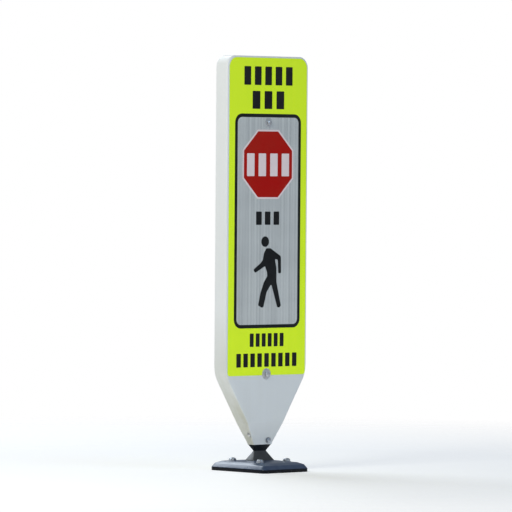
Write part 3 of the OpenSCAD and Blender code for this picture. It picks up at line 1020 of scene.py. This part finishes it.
@dataclass
class SignBody(SubAssembly):
    """The hollow moulded body, with eased edges and a neck that rounds off towards the hinge.

    The lip is the low band at the neck's bottom edge, and the flute a groove in each narrow side.
    """

    corner_r: float = 32 * MM
    shoulder_z: float = 278 * MM
    shoulder_r: float = 90 * MM
    waist_z: float = 140 * MM
    waist_half: float = 71 * MM
    waist_r: float = 120 * MM
    neck_half: float = 36 * MM
    neck_half_d: float = 13.5 * MM
    taper_ease: float = 0.9
    taper_bend: float = 2.0
    taper_end: float = 0.98
    edge_r: float = 5 * MM
    edge_growth: float = 0.7
    neck_edge_r: float = 3.5 * MM
    lip_h: float = 6 * MM
    lip_step: float = 0.8 * MM
    lip_ease: float = 1 * MM
    lip_lean: float = 1.5 * MM
    lip_fade: float = 40 * MM
    rim: float = 2.6 * MM
    rim_depth: float = 7 * MM
    flute_y: float = -10.5 * MM
    flute_depth: float = 3 * MM
    flute_half: float = 3.2 * MM
    flute_low: float = 12 * MM
    flute_high: float = 20 * MM
    flute_starts: float = 8 * MM
    flute_ends: float = 30 * MM
    fine_step: float = 7 * MM
    coarse_step: float = 24 * MM
    fine_above_waist: float = 15 * MM
    washer_h: float = 1.6 * MM
    washer_gap: float = 0.5 * MM
    bolt_cut: float = 12 * MM
    screw_head_h: float = 3.5 * MM
    screw_gap: float = 1 * MM
    screw_cut: float = 20 * MM
    columns: int = 16
    round_steps: int = 6
    wall_steps: int = 22

    def build(self) -> None:
        """Builds the body and cuts the seats of the neck's bolts and screws."""
        self.box = Box.of("body_shell")
        self.half = self.box.high.x
        self.half_d = self.box.high.y
        self.top = self.box.high.z
        self.foot = self.box.low.z
        piece = self._skin().build("sign_body", sharp=40.0)
        carve(piece, self._seats())
        self.seat(piece, "body_plastic", Body.SIGN, "body_shell")
        self.dress("neck_insert", "insert_plastic")
        self.dress("spacer_tubes", "zinc_steel")

    def _half_depth(self, z: float) -> float:
        """Works out half the body's thickness, with the small step above the neck's lip.

        Args:
            z: Height.

        Returns:
            Distance from the middle plane to the skin.
        """
        share = min(1.0, max(0.0, (z - self.foot) / (self.waist_z - self.foot)))
        eased = share - max(0.0, share - self.taper_ease) ** 2 * self.taper_bend
        depth = self.neck_half_d + (self.half_d - self.neck_half_d) * min(1.0, eased / self.taper_end)
        return depth - self._step(z)

    def _step(self, z: float) -> float:
        """Works out how far the skin lies in from the neck's lip.

        Args:
            z: Height.

        Returns:
            Depth of the step, which fades out above the lip.
        """
        rise = z - self.foot - self.lip_h
        if rise <= -self.lip_ease:
            return 0.0
        lean_in = min(1.0, (rise + self.lip_ease) / self.lip_lean)
        return self.lip_step * lean_in * max(0.0, 1.0 - max(0.0, rise) / self.lip_fade)

    def _edge_radius(self, z: float) -> float:
        """Returns the radius of the eased edges at a height."""
        share = min(1.0, max(0.0, (z - self.foot) / (self.shoulder_z - self.foot)))
        return self.neck_edge_r + (self.edge_r - self.neck_edge_r) * share**self.edge_growth

    def _side(self) -> list[OutlinePoint]:
        """Draws the right half of the outline.

        Returns:
            Points from the neck up to the end of the top corner.
        """
        corners = [
            (self.neck_half, self.foot, 0.0),
            (self.waist_half, self.waist_z, self.waist_r),
            (self.half, self.shoulder_z, self.shoulder_r),
            (self.half, self.top, self.corner_r),
            (0.0, self.top, 0.0),
        ]
        path = filleted(corners, arc_steps=12)
        path = path[: next(i for i, (_, z) in enumerate(path) if z >= self.top - WELD) + 1]
        fine_below = self.waist_z + self.fine_above_waist
        fine = resampled(path, self.fine_step, self.coarse_step, fine_below)
        points = [OutlinePoint(x - self._step(z), z) for x, z in fine]
        ends = [OutlinePoint(self.neck_half, self.foot - 1 * MM), *points, OutlinePoint(0.0, self.top)]
        for i, point in enumerate(points):
            a, b = ends[i], ends[i + 2]
            dx, dz = b.x - a.x, b.z - a.z
            length = math.hypot(dx, dz)
            point.nx, point.nz = -dz / length, dx / length
        points[0].nx, points[0].nz = -1.0, 0.0
        points[-1].nx, points[-1].nz = 0.0, -1.0
        return points

    def _flute(self, y: float, z: float) -> float:
        """Works out the depth of the moulded flute in the narrow side.

        Args:
            y: Place across the narrow side.
            z: Height.

        Returns:
            How far the flute lies in from the skin.
        """
        low, high = self.foot + self.flute_low, self.waist_z + self.flute_high
        fade = smooth((z - low) / self.flute_starts) * smooth((high - z) / self.flute_ends)
        return self.flute_depth * fade * math.exp(-(((y - self.flute_y) / self.flute_half) ** 2))

    def _ring(self, point: OutlinePoint, mirror: int) -> list[Vector]:
        """Draws the section across the body's edge at an outline point.

        Args:
            point: The outline point.
            mirror: 1 on the right, -1 on the left.

        Returns:
            Points from the front to the back.
        """
        radius = self._edge_radius(point.z)
        depth = min(self._half_depth(point.z), self._half_depth(point.z + point.nz * radius))
        radius = min(radius, depth * 0.92)
        quarter = [math.radians(90.0 * i / self.round_steps) for i in range(self.round_steps + 1)]
        section = [
            (radius * (1 - math.cos(a)), -(depth - radius * (1 - math.sin(a)))) for a in reversed(quarter)
        ]
        flat = depth - radius
        for i in range(1, self.wall_steps):
            section.append((0.0, -flat + 2 * flat * i / self.wall_steps))
        section += [(inset, -y) for inset, y in reversed(section[: self.round_steps + 1])]
        ring = []
        for inset, y in section:
            inset += self._flute(y, point.z) if inset < WELD else 0.0
            ring.append(Vector((mirror * (point.x + point.nx * inset), y, point.z + point.nz * inset)))
        return ring

    def _skin(self) -> Draft:
        """Draws the edge all round, the two faces, and the rim of the neck.

        Returns:
            The skin as one closed shell.
        """
        side = self._side()
        span = side[-1].x
        draft = Draft()
        right = [draft.row(self._ring(point, 1)) for point in side]
        top = []
        for k in range(1, self.columns):
            x = span - 2 * span * k / self.columns
            top.append(draft.row(self._ring(OutlinePoint(x, self.top, 0.0, -1.0), 1)))
        left = [draft.row(self._ring(point, -1)) for point in side]
        loop = right + top + left[::-1]
        for a, b in zip(loop, loop[1:]):
            draft.bridge(a, b, closed=False)
        rim = [self._face(draft, left, right, top, index) for index in (0, -1)]
        edge = rim[0] + right[0][1:-1] + rim[1][::-1] + left[0][-2:0:-1]
        inner = draft.row(self._inside(draft.points[i], 0.0) for i in edge)
        deep = draft.row(self._inside(draft.points[i], self.rim_depth) for i in edge)
        draft.bridge(edge, inner)
        draft.bridge(inner, deep)
        draft.cap(deep)
        return draft

    def _face(
        self, draft: Draft, left: list[list[int]], right: list[list[int]], top: list[list[int]], index: int
    ) -> list[int]:
        """Fills one broad face with level strips.

        Args:
            draft: The skin.
            left: Sections of the left edge, from the neck up.
            right: Sections of the right edge, from the neck up.
            top: Sections of the top edge, from right to left.
            index: Place of this face's edge in a section.

        Returns:
            The lowest row of the face, from left to right.
        """
        rows = []
        for a, b in zip(left[:-1], right[:-1]):
            start, end = draft.points[a[index]], draft.points[b[index]]
            inner = draft.row(start.lerp(end, k / self.columns) for k in range(1, self.columns))
            rows.append([a[index], *inner, b[index]])
        rows.append([left[-1][index], *(section[index] for section in reversed(top)), right[-1][index]])
        for a, b in zip(rows, rows[1:]):
            draft.bridge(a, b, closed=False)
        return rows[0]

    def _inside(self, point: Vector, rise: float) -> Vector:
        """Finds the point of the neck's inner wall next to a point of its bottom edge.

        Args:
            point: Point of the bottom edge.
            rise: Height above that edge.

        Returns:
            The point of the inner wall.
        """
        reach = math.hypot(point.x, point.y)
        keep = 1.0 - self.rim / max(reach, 4 * self.rim)
        return Vector((point.x * keep, point.y * (1 - self.rim / self.neck_half_d), self.foot + rise))

    def _seats(self) -> list[Draft]:
        """Lays out the recesses of the neck bolt and the side screws.

        Returns:
            A cutter for each recess.
        """
        cutters = []
        bolt = Box.of("neck_washers")
        pocket = rod(bolt.size.z / 2 + self.washer_gap, 0.0, self.bolt_cut)
        middle = (bolt.low + bolt.high) / 2
        seat = bolt.high.y - self.washer_h
        for side in Side:
            cutters.append(pocket.moved(along_y(side, middle.x, side.value * seat, middle.z)))
        screw = Box.of("side_screws")
        pocket = rod(screw.size.z / 2 + self.screw_gap, 0.0, self.screw_cut)
        middle = (screw.low + screw.high) / 2
        seat = screw.high.x - self.screw_head_h
        for way in (1, -1):
            cutters.append(pocket.moved(along_x(way, way * seat, middle.y, middle.z)))
        return cutters


def smooth(share: float) -> float:
    """Returns a soft step from 0 to 1."""
    share = min(1.0, max(0.0, share))
    return share * share * (3.0 - 2.0 * share)


def filleted(corners: Sequence[Triple], arc_steps: int) -> list[Pair]:
    """Returns an open path with its corners rounded.

    Args:
        corners: First and second coordinate and radius of each corner.
        arc_steps: Segments in each arc.

    Returns:
        The path's points.
    """
    path = [corners[0][:2]]
    for before, corner, after in zip(corners, corners[1:], corners[2:]):
        here = Vector(corner[:2])
        to_a = (Vector(before[:2]) - here).normalized()
        to_b = (Vector(after[:2]) - here).normalized()
        half = to_a.angle(to_b) / 2
        if corner[2] <= 0.0 or half > math.radians(89.9):
            path.append(corner[:2])
            continue
        centre = here + (to_a + to_b).normalized() * corner[2] / math.sin(half)
        start = here + to_a * corner[2] / math.tan(half) - centre
        end = here + to_b * corner[2] / math.tan(half) - centre
        sweep = start.angle_signed(end)
        for step in range(arc_steps + 1):
            angle = -sweep * step / arc_steps
            x = start.x * math.cos(angle) - start.y * math.sin(angle)
            y = start.x * math.sin(angle) + start.y * math.cos(angle)
            path.append((centre.x + x, centre.y + y))
    path.append(corners[-1][:2])
    return path


def resampled(path: Sequence[Pair], fine: float, coarse: float, fine_below: float) -> list[Pair]:
    """Returns a path with points added so that no step is long.

    Args:
        path: The path's points.
        fine: Longest step low down.
        coarse: Longest step higher up.
        fine_below: Height below which steps are short.

    Returns:
        The path with its added points.
    """
    out = [path[0]]
    for (x0, z0), (x1, z1) in zip(path, path[1:]):
        longest = fine if min(z0, z1) < fine_below else coarse
        steps = max(1, math.ceil(math.hypot(x1 - x0, z1 - z0) / longest))
        out += [(x0 + (x1 - x0) * i / steps, z0 + (z1 - z0) * i / steps) for i in range(1, steps + 1)]
    return out


@dataclass
class Face(SubAssembly):
    """One printed face: a thin panel and the films on it."""

    side: Side = Side.FRONT

    FILMS = {
        "panel": "panel_aluminium",
        "sheeting": "lime_film",
        "inset": "silver_film",
        "border": "black_film",
        "blocks": "black_film",
        "octagon_edge": "white_film",
        "octagon": "red_film",
        "octagon_blocks": "white_film",
        "walker": "black_film",
    }

    def build(self) -> None:
        """Dresses the panel and its films."""
        for layer, slot in self.FILMS.items():
            self.dress(f"{self.side.word}_{layer}", slot)


@dataclass
class Fasteners(SubAssembly):
    """Bolts, nuts, washers and screws of the sign's face and neck."""

    washer_h: float = 1.6 * MM
    flats: float = 13 * MM
    head_h: float = 5.3 * MM
    nut_h: float = 6.5 * MM
    bolt_r: float = 4 * MM
    bolt_gap: float = 0.3 * MM
    thread_gap: float = 0.1 * MM
    tail: float = 2 * MM
    lower_washer_r: float = 15 * MM
    upper_washer_r: float = 12.5 * MM
    screw_r: float = 2.5 * MM
    screw_l: float = 16 * MM
    screw_head_r: float = 5.5 * MM
    screw_head_h: float = 3.5 * MM

    def build(self) -> None:
        """Builds the through bolts and the side screws."""
        self._face_bolts()
        self._neck_bolt()
        self._side_screws()

    def _stack(
        self, x: float, z: float, level: float, washer_r: float, turn: float
    ) -> tuple[Draft, Draft, Draft]:
        """Draws one through bolt with its washers and nut.

        Args:
            x: Place across the sign.
            z: Height.
            level: Distance from the middle plane to each washer's seat.
            washer_r: Radius of the washers.
            turn: Angle of the head, in degrees.

        Returns:
            The bolt, the two washers, and the nut.
        """
        seat = level + self.washer_h
        rings = Draft()
        for side in Side:
            ring = washer(washer_r, self.bolt_r + self.bolt_gap, self.washer_h)
            rings.join(ring.moved(along_y(side, x, side.value * level, z)))
        spin = Matrix.Rotation(math.radians(turn), 4, "Z")
        bolt = HexHead(self.flats, self.head_h).draft().moved(along_y(Side.FRONT, x, -seat, z) @ spin)
        bolt.join(rod(self.bolt_r, -seat, seat, 36).moved(along_y(Side.BACK, x, 0.0, z)))
        end = threaded_end(self.bolt_r, seat, seat + self.nut_h + self.tail)
        bolt.join(end.moved(along_y(Side.BACK, x, 0.0, z)))
        nut = HexHead(self.flats, self.nut_h, bore=self.bolt_r + self.thread_gap).draft()
        return bolt, rings, nut.moved(along_y(Side.BACK, x, seat, z) @ spin)

    def _face_bolts(self) -> None:
        """Builds the two bolts that hold both faces to the body."""
        box = Box.of("face_washers")
        upper = Box.of("front_inset")
        shell = Box.of("body_shell")
        places = (
            (box.high.z - self.upper_washer_r, -upper.low.y, self.upper_washer_r, 11.0),
            (box.low.z + self.lower_washer_r, shell.high.y, self.lower_washer_r, -7.0),
        )
        bolts, rings, nuts = Draft(), Draft(), Draft()
        for z, level, radius, turn in places:
            for whole, part in zip((bolts, rings, nuts), self._stack(0.0, z, level, radius, turn)):
                whole.join(part)
        for name, draft in (("face_bolts", bolts), ("face_washers", rings), ("face_nuts", nuts)):
            self.seat(draft.build(f"{name}_turned"), "zinc_steel", Body.SIGN, name)

    def _neck_bolt(self) -> None:
        """Builds the bolt that ties the rubber's tongue into the neck."""
        box = Box.of("neck_washers")
        middle = (box.low + box.high) / 2
        level = box.high.y - self.washer_h
        parts = self._stack(middle.x, middle.z, level, box.size.z / 2, 20.0)
        for name, draft in zip(("neck_bolt", "neck_washers", "neck_nut"), parts):
            self.seat(draft.build(f"{name}_turned"), "anchor_steel", Body.SIGN, name)

    def _side_screws(self) -> None:
        """Builds the two pan-head screws in the narrow sides of the neck."""
        box = Box.of("side_screws")
        middle = (box.low + box.high) / 2
        seat = box.high.x - self.screw_head_h
        r, h = self.screw_head_r, self.screw_head_h
        profile = [
            (r * 0.97, 0.0), (r, 0.5 * MM), (r, h * 0.55), (r * 0.9, h * 0.82),
            (r * 0.62, h), (r * 0.42, h), (r * 0.36, h * 0.45),
        ]
        head = Draft()
        head.loft([level_ring(lambda _, r=r: r, lambda _, z=z: z, 40) for r, z in profile])
        head.join(rod(self.screw_r, -self.screw_l, 0.0, 24))
        both = Draft()
        for way in (1, -1):
            both.join(head.moved(along_x(way, way * seat, middle.y, middle.z)))
        self.seat(both.build("side_screws_turned"), "zinc_steel", Body.SIGN, "side_screws")


@dataclass
class FlexHinge(SubAssembly):
    """The rubber hinge: flanged foot, bending waist, and head with its tongue."""

    flange_out: float = 8 * MM
    flange_t: float = 9 * MM
    web_half: Pair = (22 * MM, 4 * MM)
    head_half: Pair = (35 * MM, 12.5 * MM)
    tongue_half: Pair = (26.5 * MM, 7 * MM)
    bend_z: float = 58 * MM
    head_z: float = 76 * MM
    head_gap: float = 0.1 * MM
    waist_soft: float = 5 * MM
    waist_ease: float = 0.02
    ease: float = 1 * MM
    ease_r: float = 2.5 * MM
    corner_r: float = 3 * MM
    flange_r: float = 4 * MM

    def build(self) -> None:
        """Builds the rubber as one moulding, and dresses the foot plate and the core."""
        foot = Box.of("hinge_foot")
        head = Box.of("hinge_head")
        flange_half = (foot.high.x, foot.high.y)
        self.foot_half = (foot.high.x - self.flange_out, foot.high.y - self.flange_out)
        self.foot_z = Box.of("base").high.z
        ledge = foot.low.z + self.flange_t
        top = Box.of("body_shell").low.z - self.head_gap
        ease, corner_r, flange_r = self.ease, self.corner_r, self.flange_r
        tongue_x, tongue_y = self.tongue_half
        rings = [
            rounded_rect(flange_half[0] - ease, flange_half[1] - ease, corner_r, foot.low.z),
            rounded_rect(*flange_half, flange_r, foot.low.z + ease),
            rounded_rect(*flange_half, flange_r, ledge - ease),
            rounded_rect(flange_half[0] - ease, flange_half[1] - ease, corner_r, ledge),
            rounded_rect(*self.foot_half, corner_r, ledge),
            rounded_rect(*self.foot_half, corner_r, self.foot_z - ease),
            *(self._section(z) for z in self._heights(top)),
            rounded_rect(self.head_half[0] - ease, self.head_half[1] - ease, self.ease_r, top),
            rounded_rect(tongue_x, tongue_y, corner_r, top),
            rounded_rect(tongue_x, tongue_y, corner_r, head.high.z - ease),
            rounded_rect(tongue_x - ease, tongue_y - ease, self.ease_r, head.high.z),
        ]
        draft = Draft()
        draft.loft(rings)
        piece = draft.build("hinge_rubber", sharp=50.0)
        piece.data.materials.append(self.palette.material("hinge_rubber"))
        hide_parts("hinge_foot", "hinge_web", "hinge_head")
        web = Box.of("hinge_web")
        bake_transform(piece)
        LOG.info("piece %s: %d faces", piece.name, len(piece.data.polygons))
        self.dress("hinge_foot_plate", "zinc_steel")
        self.dress("hinge_core", "zinc_steel")

    def _heights(self, top: float) -> list[float]:
        """Lists the heights of the visible sections, closer together at the bend.

        Args:
            top: Height at which the rubber head ends.

        Returns:
            The heights, from the lowest up.
        """
        rise = [self.foot_z + (self.bend_z - self.foot_z) * i / 10 for i in range(10)]
        bend = [self.bend_z + i * 1 * MM for i in range(-7, 8)]
        fall = [self.bend_z + 8 * MM + (top - 2 * MM - self.bend_z - 8 * MM) * i / 4 for i in range(5)]
        return sorted({round(z, 6) for z in rise + bend + fall}) + [top - 0.8 * MM]

    def _half(self, z: float, way: int) -> float:
        """Works out half the rubber's width or thickness.

        Args:
            z: Height.
            way: 0 for the width, 1 for the thickness.

        Returns:
            Distance from the middle to the rubber's skin.
        """
        if z <= self.bend_z:
            share = (self.bend_z - z) / (self.bend_z - self.foot_z)
            far = self.foot_half[way]
        else:
            share = (z - self.bend_z) / (self.head_z - self.bend_z)
            far = self.head_half[way]
        near = self.web_half[way]
        width = near + (far - near) * share
        soft = self.waist_soft if way == 0 else self.waist_soft * 0.5
        reach = abs(z - self.bend_z)
        if reach > soft:
            return width
        return width + (far - near) * self.waist_ease * (1 - reach / soft)

    def _section(self, z: float) -> list[Vector]:
        """Returns the rubber's section at a height, as a level ring."""
        half_x, half_y = self._half(z, 0), self._half(z, 1)
        return rounded_rect(half_x, half_y, min(self.corner_r, half_y * 0.9), z)


@dataclass
class BaseBlock(SubAssembly):
    """The low cast base, its keeper plate and the anchors that hold it down."""

    corner_r: float = 14 * MM
    edge_h: float = 10 * MM
    bevel_w: float = 9 * MM
    bevel_z: float = 21 * MM
    slope_w: float = 24 * MM
    slope_z: float = 27 * MM
    toe: float = 0.8 * MM
    pocket_r: float = 0.4 * MM
    pocket_gap: float = 0.1 * MM
    mouth_r: float = 2 * MM
    mouth_ease: float = 0.6 * MM
    mouth_depth: float = 0.8 * MM
    ledge_h: float = 9.1 * MM
    foot_gap: float = 0.3 * MM
    flange_out: float = 8 * MM
    keeper_gap: float = 0.3 * MM
    hole_gap: float = 1 * MM
    spot_gap: float = 1 * MM
    washer_r: float = 12 * MM
    washer_h: float = 2.5 * MM
    bolt_r: float = 6 * MM
    bolt_gap: float = 0.3 * MM
    flats: float = 19 * MM
    hex_h: float = 5 * MM

    def build(self) -> None:
        """Builds the casting and the anchors."""
        self.seat_z = Box.of("anchor_washers").low.z
        self._casting()
        self._anchors()
        self.dress("keeper_plate", "zinc_steel")
        self.dress("keeper_screws", "zinc_steel")

    def _profile(self) -> list[Pair]:
        """Draws the eased section of the rim.

        Returns:
            Inset from the edge and height of each point.
        """
        corners = [
            (self.toe, 0.0, 0.0),
            (0.0, self.toe, 0.0),
            (0.0, self.edge_h, 4 * MM),
            (self.bevel_w, self.bevel_z, 9 * MM),
            (self.slope_w, self.slope_z, 12 * MM),
            (self.slope_w + 16 * MM, self.slope_z + 1.5 * MM, 0.0),
        ]
        return filleted(corners, arc_steps=5)[:-1]

    def _casting(self) -> None:
        """Builds the base from rings that follow its eased cross-section."""
        box = Box.of("base")
        pocket = Box.of("keeper_plate")
        flange = Box.of("hinge_foot")
        half_x, half_y, top = box.high.x, box.high.y, box.high.z
        pocket_x = pocket.high.x + self.keeper_gap
        pocket_y = pocket.high.y + self.keeper_gap
        roof = pocket.high.z + self.pocket_gap
        rings = [rounded_rect(pocket_x, pocket_y, self.pocket_r, z) for z in (roof, 0.0)]
        for inset, z in self._profile():
            radius = max(4 * MM, self.corner_r - inset * 0.8)
            rings.append(rounded_rect(half_x - inset, half_y - inset, radius, z))
        foot_x = flange.high.x - self.flange_out + self.foot_gap
        foot_y = flange.high.y - self.flange_out + self.foot_gap
        outer = rings[-1]
        inner = rounded_rect(foot_x, foot_y, self.mouth_r, top)
        for share in (0.3, 0.6, 0.9):
            rings.append([a.lerp(b, share) for a, b in zip(outer, inner)])
        ease = self.mouth_ease
        rings.append(rounded_rect(foot_x + ease, foot_y + ease, self.mouth_r + ease, top))
        rings.append(rounded_rect(foot_x, foot_y, self.mouth_r, top - self.mouth_depth))
        rings.append(rounded_rect(foot_x, foot_y, self.mouth_r, flange.low.z + self.ledge_h))
        draft = Draft()
        draft.loft(rings)
        piece = draft.build("base_casting", sharp=36.0)
        cutters = []
        for x, y in self._places():
            at = Matrix.Translation((x, y, 0.0))
            cutters.append(rod(self.washer_r + self.spot_gap, self.seat_z, 2 * top).moved(at))
            cutters.append(rod(self.bolt_r + self.hole_gap, -top, 2 * top, 40).moved(at))
        carve(piece, cutters)
        self.seat(piece, "base_black", Body.BASE, "base")

    def _places(self) -> list[Pair]:
        """Returns where the anchors stand."""
        reach = Box.of("anchor_washers").high - Vector((self.washer_r, self.washer_r, 0.0))
        return [(x * reach.x, y * reach.y) for x in (-1, 1) for y in (-1, 1)]

    def _anchors(self) -> None:
        """Builds the four domed anchor bolts, each turned its own way, and their washers."""
        box = Box.of("anchor_bolts")
        bolts, rings = Draft(), Draft()
        seat = self.seat_z + self.washer_h
        dome = box.high.z - seat - self.hex_h
        for number, (x, y) in enumerate(self._places()):
            turn = Matrix.Rotation(math.radians(17.0 + 23.0 * number), 4, "Z")
            at = Matrix.Translation((x, y, 0.0))
            head = HexHead(self.flats, self.hex_h, dome).draft()
            bolts.join(head.moved(at @ Matrix.Translation((0.0, 0.0, seat)) @ turn))
            bolts.join(rod(self.bolt_r, box.low.z, seat, 36).moved(at))
            ring = washer(self.washer_r, self.bolt_r + self.bolt_gap, self.washer_h)
            rings.join(ring.moved(at @ Matrix.Translation((0.0, 0.0, self.seat_z))))
        self.seat(bolts.build("anchor_bolts_domed"), "anchor_steel", Body.BASE, "anchor_bolts")
        self.seat(rings.build("anchor_washers_eased"), "anchor_steel", Body.BASE, "anchor_washers")


# ---------------------------------------------------------------- studio


@dataclass
class Lamp:
    """A soft rectangular lamp.

    Attributes:
        name: Its name.
        place: Where it hangs.
        aim: What it points at.
        size: Width and height.
        power: Power in watts.
        colour: Colour of its light.
    """

    name: str
    place: Triple
    aim: Triple
    size: Pair
    power: float
    colour: Colour = (1.0, 1.0, 1.0)

    def hang(self) -> None:
        """Adds the lamp to the scene."""
        light = bpy.data.lights.new(self.name, "AREA")
        light.shape = "RECTANGLE"
        light.size, light.size_y = self.size
        light.energy = self.power
        light.color = self.colour
        lamp = bpy.data.objects.new(self.name, light)
        bpy.context.scene.collection.objects.link(lamp)
        lamp.location = self.place
        lamp.rotation_euler = (Vector(self.aim) - Vector(self.place)).to_track_quat("-Z", "Y").to_euler()


@dataclass
class Studio:
    """Pale floor, soft lamps and the camera."""

    azimuth: float = -43.0
    distance: float = 14.5
    eye_height: float = 0.87
    aim_height: float = 0.6153
    aim_left: float = 0.0143
    roll: float = 0.42
    lens: float = 356.2
    sensor: float = 36.0
    floor_radius: float = 3.2
    floor_glow: float = 0.24
    fade_from: float = 0.35
    fade_to: float = 0.98
    ambient: float = 0.32

    def build(self) -> None:
        """Sets up everything that isn't the sign."""
        bpy.context.scene.view_settings.view_transform = "Standard"
        self._floor()
        self._sky()
        self._camera()
        for lamp in (
            Lamp("key", (-2.35, -0.45, 2.0), (0.0, 0.0, 0.9), (1.1, 1.4), 37.0, (1.0, 0.985, 0.88)),
            Lamp("fill", (0.8, -4.8, 2.4), (0.0, 0.0, 0.6), (3.2, 2.6), 57.0, (0.54, 0.74, 1.0)),
            Lamp("back", (0.5, 3.4, 3.0), (0.0, 0.0, 0.1), (3.2, 1.8), 100.0, (0.84, 0.92, 1.0)),
        ):
            lamp.hang()
        LOG.info("studio: floor, sky, camera and lamps")

    def _floor(self) -> None:
        """Lays a pale disc that fades out at its edge."""
        draft = Draft()
        radii = [self.floor_radius * share for share in (0.02, 0.15, 0.4, 0.7, 1.0)]
        draft.loft([level_ring(lambda _, r=r: r, lambda _: 0.0, 96) for r in radii], cap_last=False)
        floor = draft.build("floor")
        graph = Graph("floor_paint")
        reach = graph.nodes.new("ShaderNodeVectorMath")
        reach.operation = "LENGTH"
        graph.links.new(graph.place, reach.inputs[0])
        near, far = self.floor_radius * self.fade_from, self.floor_radius * self.fade_to
        fade = graph.span(reach.outputs["Value"], near, far, 1.0, 0.0)
        graph.put("Base Color", (0.84, 0.84, 0.84))
        graph.put("Emission Color", (1.0, 0.96, 0.92))
        graph.put("Emission Strength", self.floor_glow)
        graph.put("Roughness", graph.span(graph.noise(3.0, 4.0), 0.3, 0.7, 0.75, 0.9))
        graph.put("Specular IOR Level", 0.15)
        graph.put("Alpha", fade)
        floor.data.materials.append(graph.material)
        floor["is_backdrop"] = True

    def _sky(self) -> None:
        """Surrounds the scene with white that lights it gently."""
        world = bpy.data.worlds.new("sky")
        bpy.context.scene.world = world
        world.use_nodes = True
        nodes, links = world.node_tree.nodes, world.node_tree.links
        backdrop = nodes["Background"]
        backdrop.inputs["Color"].default_value = (1.0, 1.0, 1.0, 1.0)
        backdrop.inputs["Strength"].default_value = 1.0
        ambient = nodes.new("ShaderNodeBackground")
        ambient.inputs["Color"].default_value = (0.86, 0.92, 1.0, 1.0)
        ambient.inputs["Strength"].default_value = self.ambient
        path = nodes.new("ShaderNodeLightPath")
        mix = nodes.new("ShaderNodeMixShader")
        links.new(path.outputs["Is Camera Ray"], mix.inputs[0])
        links.new(ambient.outputs[0], mix.inputs[1])
        links.new(backdrop.outputs[0], mix.inputs[2])
        links.new(mix.outputs[0], nodes["World Output"].inputs["Surface"])

    def _camera(self) -> None:
        """Stands the camera low and far away, to the left of the sign's front."""
        turn = math.radians(self.azimuth)
        right = Vector((math.cos(turn), math.sin(turn), 0.0))
        place = Vector((math.sin(turn), -math.cos(turn), 0.0)) * self.distance
        place.z = self.eye_height
        aim = Vector((0.0, 0.0, self.aim_height)) - right * self.aim_left
        data = bpy.data.cameras.new("camera")
        data.sensor_width = self.sensor
        data.lens = self.lens
        data.clip_end = 200.0
        camera = bpy.data.objects.new("camera", data)
        bpy.context.scene.collection.objects.link(camera)
        look = (aim - place).to_track_quat("-Z", "Y").to_matrix().to_4x4()
        tilt = Matrix.Rotation(math.radians(self.roll), 4, "Z")
        camera.matrix_world = Matrix.Translation(place) @ look @ tilt
        bpy.context.scene.camera = camera


def plain(bounds: Iterable[Iterable[float]]) -> list[list[float]]:
    """Returns corners as plain lists."""
    return [[float(value) for value in corner] for corner in bounds]


def main() -> list[list[float]]:
    """Loads the frame and builds every sub-assembly in order.

    Returns:
        The frame's own box, as plain lists.
    """
    logging.basicConfig(level=logging.INFO, format="%(name)s: %(message)s")
    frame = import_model()
    cad_box = plain(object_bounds())
    palette = Palette()
    nodes = frame["nodes"]
    Studio().build()
    for part in (
        SignBody(palette, nodes),
        Face(palette, nodes, Side.FRONT),
        Face(palette, nodes, Side.BACK),
        Fasteners(palette, nodes),
        FlexHinge(palette, nodes),
        BaseBlock(palette, nodes),
    ):
        part.build()
        LOG.info("%s done", type(part).__name__)
    return cad_box


if __name__ == "__main__":
    sizes = {"cad": main(), "visual": plain(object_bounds())}
